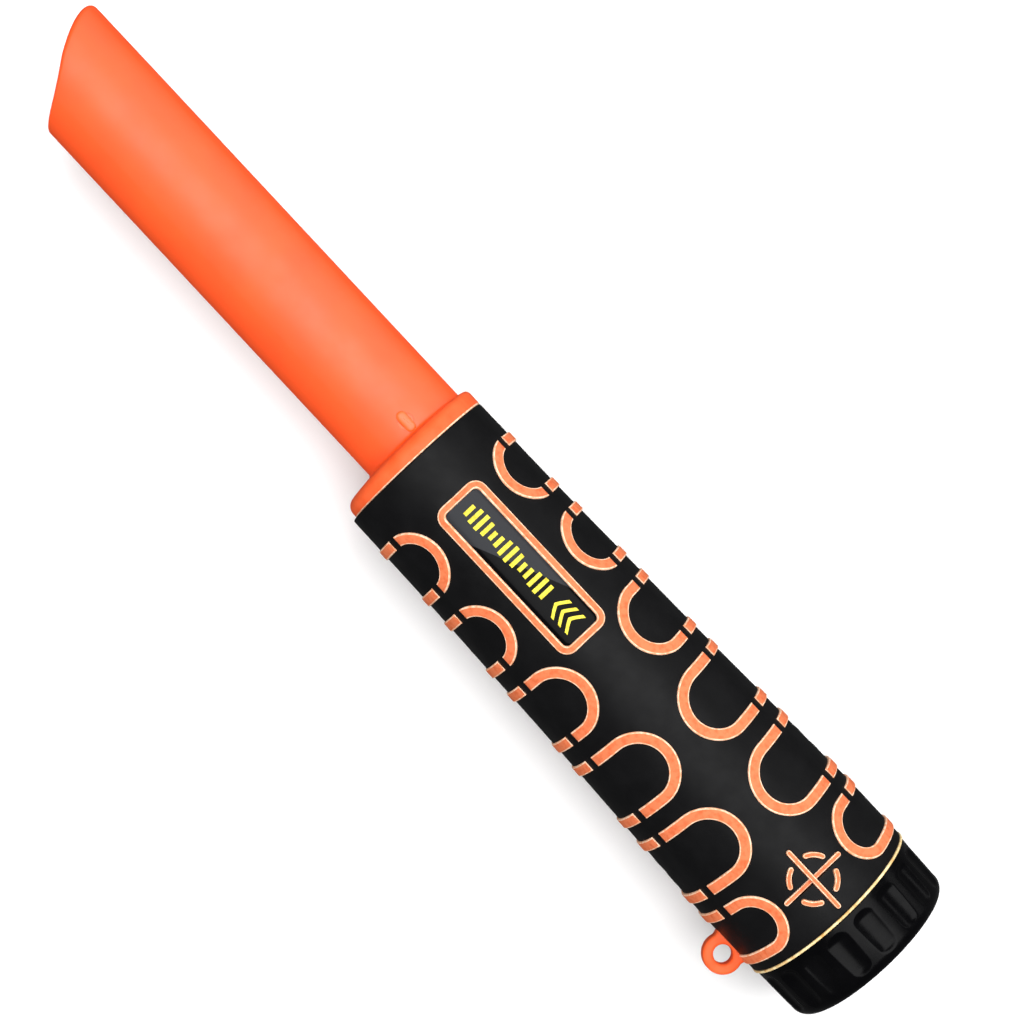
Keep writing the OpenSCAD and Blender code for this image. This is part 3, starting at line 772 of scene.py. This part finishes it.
def make_ribs():
    """All horseshoes and pole tips, in one object."""
    parts = []
    for side in (1, -1):
        for k, shoe in enumerate(HORSESHOES):
            for back in (False, True):
                parts.append(ribbon(f"crown_{side}_{k}_{back}", horseshoe_track(shoe, side, back),
                                    RIB_WIDTH, RIB_RISE, RIB_SINK, 0.28))
            for x_side in (-1, 1):
                parts.append(ribbon(f"tip_{side}_{k}_{x_side}", tip_track(shoe, x_side, side),
                                    RIB_WIDTH, RIB_RISE, RIB_SINK, 0.28))
    ribs = join("horseshoe_ribs", parts)
    shade(ribs, 50)
    # The ribs' sides and rounded edges take the painted edge highlight.
    paint(ribs, ORANGE_RUBBER, RIB_EDGE_HIGHLIGHT)
    finish_piece(ribs, "housing", "orange_rubber", "horseshoe_inlays")


def key_marks(grow):
    """Outlines of the key's cross and four arcs, each centred on the key, as closed lines."""
    lines = []
    for degrees in (0, 90):
        lines.append(turn(capsule(2 * KEY_ARM, KEY_STROKE, grow), degrees))
    for middle in (45, 135, 225, 315):
        half = KEY_ARC_SPAN / 2
        outer = arc(KEY_ARC_R + KEY_STROKE / 2 + grow, middle - half, middle + half, 12)
        inner = arc(KEY_ARC_R - KEY_STROKE / 2 - grow, middle + half, middle - half, 12)
        end, start = middle + half, middle - half
        cap_a = KEY_ARC_R * arc(1, end, end, 1) + arc(KEY_STROKE / 2 + grow, end + 15, end + 165, 6)
        cap_b = KEY_ARC_R * arc(1, start, start, 1) + arc(KEY_STROKE / 2 + grow, start + 195, start + 345, 6)
        lines.append(np.concatenate([outer, cap_a, inner, cap_b]))
    return lines


def grip_prism(name, line, centre, low, high):
    """A cutter that runs through the grip's skin along a closed line on the unrolled grip."""
    line = np.asarray(line) + np.array(centre)
    rings = [on_grip(line[:, 0], line[:, 1], rise) for rise in (low, high)]
    return loft(name, rings)


def make_sleeve():
    """Soft rubber sleeve, with the badge's window and the key's slots cut through."""
    edge = 0.35
    start_r, end_r = float(grip_radius(SLEEVE_START)), float(grip_radius(SLEEVE_END))
    outline = [(SLEEVE_START + edge * (1 - math.sin(a)), start_r - edge * (1 - math.cos(a)))
               for a in np.radians(np.linspace(90, 0, 6))]
    outline += [(x, float(grip_radius(x))) for x in np.linspace(SLEEVE_START, SLEEVE_END, 92)[1:-1]]
    outline += [(SLEEVE_END - edge * (1 - math.sin(a)), end_r - edge * (1 - math.cos(a)))
                for a in np.radians(np.linspace(0, 90, 6))]
    outline += [(x, float(grip_radius(x)) - SLEEVE_WALL) for x in np.linspace(SLEEVE_END, SLEEVE_START, 24)]
    sleeve = turned("rubber_sleeve", outline, around=288)
    opening = round_rect(FRAME_LENGTH, FRAME_WIDTH, FRAME_ROUND, -0.3)
    window = grip_prism("window", opening, FRAME_CENTRE, -3, 2)
    slots = [grip_prism(f"slot_{k}", line, (KEY_X, 0), -3, 2) for k, line in enumerate(key_marks(SLOT_GAP))]
    cross = slots[0]
    cut(cross, [slots[1]], "UNION")
    half = EYE_THICK / 2 + 0.02
    eye_slot = upright_prism("eye_slot", eye_outline(0.02), (0, 0), -half, half)
    cut(sleeve, [window, cross, *slots[2:], eye_slot])
    paint(sleeve, BLACK_RUBBER)
    finish_piece(sleeve, "housing", "black_rubber", "grip_sleeve")


def make_key():
    """Power key: the crosshair that stands through the rubber, on a curved base with a stem."""
    radius = 0.22
    steps = [(-d, h) for d, h in rounded_top(KEY_STROKE, RIB_RISE, 1.9, radius, steps=4)][:-1]
    parts = []
    for k, line in enumerate(key_marks(0)):
        grown = {grow: key_marks(grow)[k] for grow, _ in steps}
        parts.append(plateau(f"mark_{k}", lambda grow: grown[grow], steps, (KEY_X, 0)))
    marks = join("key_marks", parts)
    shade(marks, 50)
    # The marks' sides and rounded edges take the painted edge highlight.
    paint(marks, ORANGE_RUBBER, RIB_EDGE_HIGHLIGHT)
    base_r = (KEY_HIGH[0] - KEY_LOW[0]) / 2 - 0.02
    top = -float(grip_radius(KEY_X)) + 17.95
    disc = [(-0.1, top - 0.85), (0, top - 0.75), (0, top - 0.1), (-0.1, top), (-2, top), (-4, top), (-6, top)]
    base = plateau("key_base", lambda grow: arc(base_r + grow, 0, 352.5, 48), disc, (KEY_X, 0))
    stem_outline = [(KEY_LOW[2], 0.1), (KEY_LOW[2], 1.9), (KEY_LOW[2] + 0.3, 2.2), (17.4, 2.2), (17.4, 0.1)]
    stem = upright_turned("key_stem", stem_outline, (KEY_X, 0))
    body = join("key_body", [base, stem])
    paint(body, ORANGE_RUBBER)
    finish_piece(marks, "power_key", "orange_rubber", "power_key")
    finish_piece(body, "power_key", "orange_rubber")


def upright_turned(name, outline, centre, around=48, smooth_deg=35):
    """A solid of revolution about an axis along Z, from (z, radius) points."""
    a = circle_angles(around)
    rings = [
        np.stack([centre[0] + r * np.cos(a), centre[1] + r * np.sin(a), np.full(around, z)], -1)
        for z, r in outline
    ]
    return loft(name, rings, smooth_deg=smooth_deg)


def make_frame():
    """Raised orange frame round the badge."""
    def track(offset):
        line = round_rect(FRAME_LENGTH, FRAME_WIDTH, FRAME_ROUND, offset - FRAME_STROKE / 2, steps=10)
        return line + np.array(FRAME_CENTRE)

    rim = ribbon("badge_frame", track, FRAME_STROKE, RIB_RISE, 1.35, 0.28, closed=True)
    # The frame's sides and rounded edges take the painted edge highlight.
    paint(rim, ORANGE_RUBBER, RIB_EDGE_HIGHLIGHT)
    finish_piece(rim, "housing", "orange_rubber", "label_frame")


# ---------------------------------------------------------------- badge

BADGE_TOP = 0.08
INK_RISE = 0.05
SCALE_START = -6.6
SCALE_PITCH = 1.62
SCALE_BARS = 14
SCALE_WIDTH = 0.85


def badge_grid(along=96, across=22):
    """The badge's face as rows of points from one end to the other, in the unrolled plane."""
    half_x = FRAME_LENGTH / 2 - FRAME_STROKE - 0.05
    half_s = FRAME_WIDTH / 2 - FRAME_STROKE - 0.05
    corner = 1.2
    rows = []
    for x in half_x * np.sin(np.radians(np.linspace(-90, 90, along))):
        over = max(abs(x) - (half_x - corner), 0)
        reach = half_s - corner + math.sqrt(max(corner**2 - over**2, 0))
        rows.append([(x, s) for s in np.linspace(-reach, reach, across)])
    return np.array(rows)


def scale_bar(k):
    """track(offset) for one bar of the signal scale, across the badge."""
    tall = 1.0 + 1.5 * abs(math.sin(0.9 + k * 0.62))
    x = FRAME_CENTRE[0] + SCALE_START + k * SCALE_PITCH
    return lambda offset: [(x + offset, s) for s in np.linspace(-tall, tall * 0.8, 9)]


def chevron(k):
    """track(offset) for one of the arrow heads that point along the probe."""
    tip = FRAME_CENTRE[0] - FRAME_LENGTH / 2 + 5.2 + k * 1.9
    reach = 2.6

    def track(offset):
        spread = np.linspace(-1, 1, 17)
        return [(tip + offset * 1.3 - 1.7 * abs(t) ** 1.15, reach * t * (1 + 0 * offset)) for t in spread]

    return track


def make_badge():
    """Glossy badge with a plain yellow signal scale in place of lettering."""
    grid = badge_grid()
    along, across = grid.shape[:2]
    x, s = grid[..., 0] + FRAME_CENTRE[0], grid[..., 1]
    edge = np.zeros((along, across))
    edge[0] = edge[-1] = edge[:, 0] = edge[:, -1] = 1
    top = on_grip(x, s, BADGE_TOP - 0.1 * edge)
    foot = on_grip(x, s, -1.3)
    faces = grid_faces(along, across)
    count = along * across
    under = [tuple(count + v for v in reversed(f)) for f in faces]
    rim = [i * across for i in range(along)] + [(along - 1) * across + k for k in range(1, across)]
    rim += [i * across + across - 1 for i in reversed(range(along - 1))]
    rim += list(reversed(range(1, across - 1)))
    sides = [(a, b, count + b, count + a) for a, b in zip(rim, rim[1:] + rim[:1])]
    points = np.concatenate([top.reshape(-1, 3), foot.reshape(-1, 3)])
    badge = paint(new_object("badge_plate", points, faces + under + sides, 40), BADGE_GLOSS)
    finish_piece(badge, "housing", "badge_gloss", "label_badge")
    rise = BADGE_TOP + INK_RISE
    marks = [ribbon(f"bar_{k}", scale_bar(k), SCALE_WIDTH, rise, 0.05, 0.03) for k in range(SCALE_BARS)]
    marks += [ribbon(f"chevron_{k}", chevron(k), 0.6, rise, 0.05, 0.03) for k in range(3)]
    scale = join("badge_marks", marks)
    shade(scale, 40)
    paint(scale, YELLOW_INK)
    finish_piece(scale, "housing", "badge_gloss")


# ---------------------------------------------------------------- lens


def make_lens():
    """Work light lens: a low drop-shaped window at the probe's root."""
    steps = [(-0.3, -0.6), (0, -0.1), (0, 0.05)]
    steps += [(-0.95 * (1 - math.cos(a)), 0.05 + 0.3 * math.sin(a)) for a in np.radians(np.linspace(15, 90, 7))]
    drop = plateau("light_lens", lambda grow: capsule(4.6, 2.1, grow), steps, (LENS_X, 0), place=on_probe)
    shank = upright_turned(
        "lens_shank", [(LENS_LOW[2], 0.1), (LENS_LOW[2], 2.4), (LENS_LOW[2] + 0.9, 2.4), (LENS_LOW[2] + 0.9, 1.58),
                       (PROBE_R - 0.3, 1.58), (PROBE_R - 0.3, 0.1)], (LENS_X, PROBE_Y))
    lens = join("light_lens", [drop, shank])
    shade(lens, 40)
    paint(lens, LENS)
    finish_piece(lens, "housing", "lens_clear", "led_lens")


# ---------------------------------------------------------------- cap

FLUTES = 18
FLUTE_R = 5.2
FLUTE_DEPTH = 0.75
FLUTE_TURN = 6.0
FLUTE_ENDS = (1.9, 11.4)
FLUTE_ARCH = 1.6
CAP_LEN = 12.65
CAP_BORE_R = 14.0
FACE_R = 16.6
SHOULDER = 2.4
DISC_R = 15.1
DISC_SINK = 0.4
PLATE = 1.8
SPIGOT_R = 16.2
GRILLE_PITCH = 4.8
GRILLE_HOLE = 2.4


def soft_min(a, b, blend):
    """The lower of two heights, blended where they cross."""
    h = np.clip(0.5 + 0.5 * (b - a) / blend, 0, 1)
    return b + (a - b) * h - blend * h * (1 - h)


def fluted(x, angle, radius):
    """Radius of the cap's side at x, with its flutes scooped out."""
    pitch = 2 * math.pi / FLUTES
    off = (angle + math.radians(FLUTE_TURN) + pitch / 2) % pitch - pitch / 2
    axis_r = CAP_R + FLUTE_R - FLUTE_DEPTH
    into_end = min(x - FLUTE_ENDS[0], FLUTE_ENDS[1] - x) / FLUTE_ARCH
    arch = math.sqrt(max(1 - max(1 - into_end, 0) ** 2, 0)) if into_end > 0 else 0
    half_width = math.sqrt(max(FLUTE_R**2 - (FLUTE_R - FLUTE_DEPTH) ** 2, 0)) * arch
    scoop = math.sqrt(half_width**2 + (FLUTE_R - FLUTE_DEPTH) ** 2)
    inside = np.where(scoop > FLUTE_R - FLUTE_DEPTH + 0.01, scoop**2 - (axis_r * np.sin(off)) ** 2, 0)
    reach = np.where(inside > 0, axis_r * np.cos(off) - np.sqrt(np.maximum(inside, 0)), radius + 5)
    return soft_min(np.full_like(angle, radius), reach, 0.12)


def cap_side():
    """Outer outline of the cap from its end face to the lip, as (x, radius)."""
    rise = CAP_R - 0.25 - FACE_R
    turns = np.radians(np.linspace(88, 0, 12))
    points = [(SHOULDER * (1 - math.sin(a)), FACE_R + rise * math.cos(a)) for a in turns]
    last = CAP_LEN - 0.35
    points += [(x, CAP_R - 0.25 * (1 - (x - SHOULDER) / (last - SHOULDER)) ** 2)
               for x in np.linspace(SHOULDER, last, 46)[1:]]
    points += [(CAP_LEN - 0.35 * (1 - math.sin(a)), CAP_R - 0.35 * (1 - math.cos(a)))
               for a in np.radians(np.linspace(20, 90, 5))]
    return points


def make_cap():
    """Fluted screw cap: outside, end ring, bore and spigot in one skin."""
    around = 720
    angle = circle_angles(around)
    groove = 0.95
    inside = [
        (CAP_LEN, SPIGOT_R), (13.0, SPIGOT_R), (13.0, SPIGOT_R - groove), (14.3, SPIGOT_R - groove),
        (14.3, SPIGOT_R), (SPIGOT_END - 0.4, SPIGOT_R), (SPIGOT_END, SPIGOT_R - 0.4),
        (SPIGOT_END, CAP_BORE_R + 0.3), (SPIGOT_END - 0.3, CAP_BORE_R),
        (DISC_SINK + PLATE, CAP_BORE_R), (DISC_SINK + PLATE, DISC_R - 0.25), (0.75, DISC_R - 0.25),
        (0.75, DISC_R), (0.08, DISC_R), (0, DISC_R + 0.08), (0, FACE_R - 0.25),
    ]
    rings = [round_at(x, angle, fluted(x, angle, r)) for x, r in cap_side()]
    rings += [round_at(x, angle, r + 0 * angle) for x, r in inside]
    shell = loft("cap_shell", rings, wrap=True, smooth_deg=40)
    starts = [thread_start(k) for k in range(3)]
    shell = join("cap_shell", [shell, *starts, *make_spider()])
    shade(shell, 40)
    paint(shell, BLACK_GLOSS)
    finish_piece(shell, "cap", "black_gloss", "end_cap")
    plate = paint(make_grille(), BLACK_GLOSS)
    finish_piece(plate, "cap", "black_gloss")


def thread_start(k, turns=0.3, height=0.24, width=0.9):
    """One of the three short thread starts on the spigot."""
    lead = 4.0
    rings = []
    count = 26
    for i in range(count):
        t = i / (count - 1)
        angle = 2 * math.pi * (k / 3 + turns * t)
        x = 15.0 + lead * turns * t
        fade = min(1, 6 * t, 6 * (1 - t)) * 0.9 + 0.1
        section = [(-width / 2, -0.3), (-width / 5, height * fade), (width / 5, height * fade), (width / 2, -0.3)]
        side, top = math.sin(angle), math.cos(angle)
        rings.append([(x + u, (SPIGOT_R + h) * side, (SPIGOT_R + h) * top) for u, h in section])
    return loft(f"thread_{k}", rings, smooth_deg=30)


def make_spider():
    """Hub and arms inside the cap that carry the pad's stem."""
    low, high = 13.2, 16.2
    outline = [(low, 3.05), (low, 5.2), (low + 0.2, 5.4), (high - 0.2, 5.4), (high, 5.2), (high, 3.05)]
    hub = turned("hub", outline, 64)
    arms = []
    for k in range(3):
        a = 2 * math.pi * k / 3
        corners = [(1.1, 4.9), (1.1, CAP_BORE_R + 0.5), (-1.1, CAP_BORE_R + 0.5), (-1.1, 4.9)]
        rings = [[(x, u * math.cos(a) + v * math.sin(a), -u * math.sin(a) + v * math.cos(a)) for u, v in corners]
                 for x in (low + 0.3, high - 0.3)]
        arms.append(loft(f"arm_{k}", rings))
    return [hub, *arms]


def make_grille():
    """Sound plate of the cap, with nineteen hexagonal holes whose rims are eased."""
    curve = bpy.data.curves.new("grille", "CURVE")
    curve.dimensions, curve.fill_mode = "2D", "BOTH"
    bevel = 0.12
    lines = [arc(DISC_R - 0.3 - bevel, 0, 357.5, 144)]
    corner = GRILLE_HOLE / math.sqrt(3) + bevel
    for row in range(-2, 3):
        count = 5 - abs(row)
        for i in range(count):
            across = (i - (count - 1) / 2) * GRILLE_PITCH
            centre = np.array([across, row * GRILLE_PITCH * math.sin(math.radians(60))])
            lines.append(centre + arc(corner, 30, 330, 6))
    for line in lines:
        spline = curve.splines.new("POLY")
        spline.points.add(len(line) - 1)
        for point, (y, z) in zip(spline.points, line):
            point.co = (z * MM, y * MM, 0, 1)
        spline.use_cyclic_u = True
    curve.extrude = (PLATE / 2 - bevel) * MM
    curve.bevel_depth, curve.bevel_resolution = bevel * MM, 2
    obj = bpy.data.objects.new("grille", curve)
    bpy.context.scene.collection.objects.link(obj)
    bpy.context.view_layer.update()
    mesh = bpy.data.meshes.new_from_object(obj.evaluated_get(bpy.context.evaluated_depsgraph_get()))
    bpy.data.objects.remove(obj)
    made = bpy.data.objects.new("cap_grille", mesh)
    bpy.context.scene.collection.objects.link(made)
    middle = (DISC_SINK + PLATE / 2) * MM
    for v in mesh.vertices:
        x, y, z = v.co
        v.co = (middle + z, y, x)
    mesh.flip_normals()
    shade(made, 30)
    return made


# ---------------------------------------------------------------- inner pieces, which keep their CAD shapes


def inner_surfaces():
    """A finish for each CAD node that stays."""
    tin = Surface("tinned_wire", srgb(200, 200, 196), 0.3, 1.0).vary_roughness(0.1, 0.8).bump(0.1, 0.01, 0.3)
    steel = (
        Surface("steel", srgb(190, 190, 192), 0.32, 1.0)
        .vary_roughness(0.08, 1.5, stretch=(0.2, 1, 1))
        .bump(0.1, 0.01, 0.4)
    )
    brass = Surface("brass", srgb(196, 160, 92), 0.4, 1.0).vary_roughness(0.1, 1).bump(0.3, 0.02, 0.4)
    board = (
        Surface("solder_mask", srgb(14, 84, 44), 0.35)
        .vary_colour(srgb(30, 120, 64), 1.6, 0.5, 0.56, stretch=(1, 0.3, 1))
        .vary_roughness(0.08, 1)
        .bump(0.3, 0.02, 1.2, stretch=(0.3, 1, 1))
    )
    grey = Surface("grey_plastic", srgb(120, 122, 125), 0.55).vary_roughness(0.06, 2).bump(0.2, 0.02, 0.4)
    epoxy = Surface("chip_epoxy", srgb(26, 26, 27), 0.6).vary_roughness(0.08, 0.8).bump(0.4, 0.02, 0.2)
    shrink = (
        Surface("can_sleeve", srgb(24, 48, 96), 0.25)
        .vary_colour(srgb(16, 34, 74), 2)
        .bump(0.1, 0.02, 1.5)
    )
    flex = (
        Surface("flex", srgb(196, 130, 40), 0.3)
        .vary_colour(srgb(120, 66, 14), 0.9, 0.5, 0.55, stretch=(0.02, 1, 1))
    )
    wrap = (
        Surface("battery_wrap", srgb(38, 56, 74), 0.3)
        .vary_colour(srgb(176, 132, 58), 24, 0.5, 0.52)
        .bump(0.1, 0.02, 2)
    )
    bobbin = Surface("bobbin", srgb(222, 214, 190), 0.5).vary_roughness(0.05, 2).bump(0.15, 0.02, 0.5)
    ferrite = (
        Surface("ferrite", srgb(48, 48, 50), 0.7)
        .vary_colour(srgb(66, 66, 68), 0.8)
        .bump(0.5, 0.03, 0.4)
    )
    foam = (
        Surface("foam", srgb(128, 128, 132), 0.95)
        .vary_colour(srgb(104, 104, 108), 0.6)
        .bump(0.8, 0.1, 0.5)
    )
    graphite = Surface("graphite", srgb(44, 44, 46), 0.45).vary_roughness(0.12, 1.5).bump(0.3, 0.02, 0.6)
    red = Surface("red_wire", srgb(186, 22, 22), 0.4).vary_roughness(0.05, 1).bump(0.1, 0.02, 0.8)
    membrane = (
        Surface("membrane", srgb(60, 60, 62), 0.9)
        .vary_colour(srgb(40, 40, 42), 0.3)
        .bump(0.6, 0.03, 0.25)
    )
    lamp = Surface("led_epoxy", srgb(236, 238, 226), 0.15).vary_roughness(0.05, 0.6).bump(0.05, 0.01, 0.6)
    copper = (Surface("enamel_wire", srgb(176, 92, 42), 0.3, 0.8).vary_colour(srgb(120, 52, 20), 0.35, 0.45, 0.6, stretch=(1, 0.02, 0.02))
              .bump(0.6, 0.05, 0.35, stretch=(1, 0.02, 0.02)))
    return {
        "led": lamp, "led_leads": tin, "main_pcb": board, "pcb_tray": grey, "ic_chips": epoxy, "capacitors": shrink,
        "buzzer": epoxy, "vibration_motor": steel, "motor_clip": grey, "motor_shaft": steel, "eccentric_weight": brass,
        "switch_plunger": epoxy, "switch_body": steel, "switch_board": board, "switch_ribbon": flex,
        "battery_can": wrap, "battery_terminals": steel, "battery_snap": epoxy, "battery_leads": red,
        "bulkhead": grey, "bulkhead_screws": steel, "coil_former": bobbin, "ferrite_rod": ferrite,
        "transmit_winding": copper, "receive_winding": copper, "coil_leads": copper, "coil_spacer": foam,
        "tip_cushion": foam, "coil_shield": graphite, "cap_seal": BLACK_RUBBER, "grille_membrane": membrane,
        "membrane_ring": epoxy, "battery_pad": BLACK_RUBBER, "pad_clip": steel,
    }


def paint_inner():
    for name, surface in inner_surfaces().items():
        paint(frame["nodes"][name], surface)


# ---------------------------------------------------------------- stage, light and camera


def make_floor():
    """A plain pale floor just under the part."""
    low = cad_box[0].z - 0.0002
    size = 4.0
    mesh = bpy.data.meshes.new("floor")
    corners = [(-size, -size, low), (size, -size, low), (size, size, low), (-size, size, low)]
    mesh.from_pydata(corners, [], [(0, 1, 2, 3)])
    floor = bpy.data.objects.new("floor", mesh)
    bpy.context.scene.collection.objects.link(floor)
    paint(floor, Surface("floor", srgb(246, 246, 246), 0.7, Specular_IOR_Level=0.2).vary_roughness(0.03, 40))
    floor.visible_glossy = False
    floor.visible_diffuse = False


def area_light(name, place, aim, size, watts, mirrored=True):
    """A rectangular light. Surfaces mirror it only if it is marked as mirrored."""
    light = bpy.data.lights.new(name, "AREA")
    light.shape, light.size, light.size_y = "RECTANGLE", size[0], size[1]
    light.energy = watts
    obj = bpy.data.objects.new(name, light)
    obj.location = place
    obj.rotation_euler = (Vector(aim) - Vector(place)).to_track_quat("-Z", "Y").to_euler()
    obj.visible_glossy = mirrored
    bpy.context.scene.collection.objects.link(obj)


def make_lights():
    """A softbox and a dim strip that surfaces mirror, and a wide soft fill that they don't."""
    middle = (TOTAL_LEN / 2 * MM, 0, 0)
    area_light("key", (0.09, -0.14, 0.85), middle, (0.9, 1.0), 10.5)
    area_light("strip", (0.10, -0.80, 0.22), middle, (0.8, 0.10), 0.7)
    area_light("fill", (0.12, 0.0, 1.60), middle, (4.0, 4.0), 38.0, mirrored=False)
    for side in (-1, 1):
        area_light("side", (0.12, side * 1.2, 0.2), middle, (2.0, 0.8), 9.5, mirrored=False)
    world = bpy.data.worlds.new("studio")
    world.use_nodes = True
    world.node_tree.nodes["Background"].inputs["Color"].default_value = (1, 1, 1, 1)
    world.node_tree.nodes["Background"].inputs["Strength"].default_value = 0.12
    bpy.context.scene.world = world


def make_camera():
    """Looks down on the badge, rolled four degrees about the grip, with the probe's tip at the top left."""
    roll = math.radians(4.0)
    along = Vector((0.682, 0.731)).normalized()
    height, off_x, off_y = 442 * MM, 110.6 * MM, -7.0 * MM
    right, up = Vector((-along.x, -along.y, 0)), Vector((along.y, -along.x, 0))

    def rolled(v):
        cos, sin = math.cos(roll), math.sin(roll)
        return Vector((v[0], v[1] * cos + v[2] * sin, v[2] * cos - v[1] * sin))

    data = bpy.data.cameras.new("camera")
    data.sensor_width, data.lens = 36.0, 36.0 * 2260 / 1024
    data.clip_start, data.clip_end = 0.01, 20
    camera = bpy.data.objects.new("camera", data)
    x_axis, y_axis = rolled(right), rolled(up)
    z_axis = x_axis.cross(y_axis)
    place = rolled((off_x, off_y, height))
    rows = [[x_axis[i], y_axis[i], z_axis[i], place[i]] for i in range(3)] + [[0, 0, 0, 1]]
    camera.matrix_world = Matrix(rows)
    bpy.context.scene.collection.objects.link(camera)
    bpy.context.scene.camera = camera


# ---------------------------------------------------------------- build

make_housing()
make_sleeve()
make_ribs()
make_frame()
make_badge()
make_key()
make_lens()
make_cap()
paint_inner()
make_floor()
make_lights()
make_camera()
bpy.context.scene.view_settings.view_transform = "Standard"
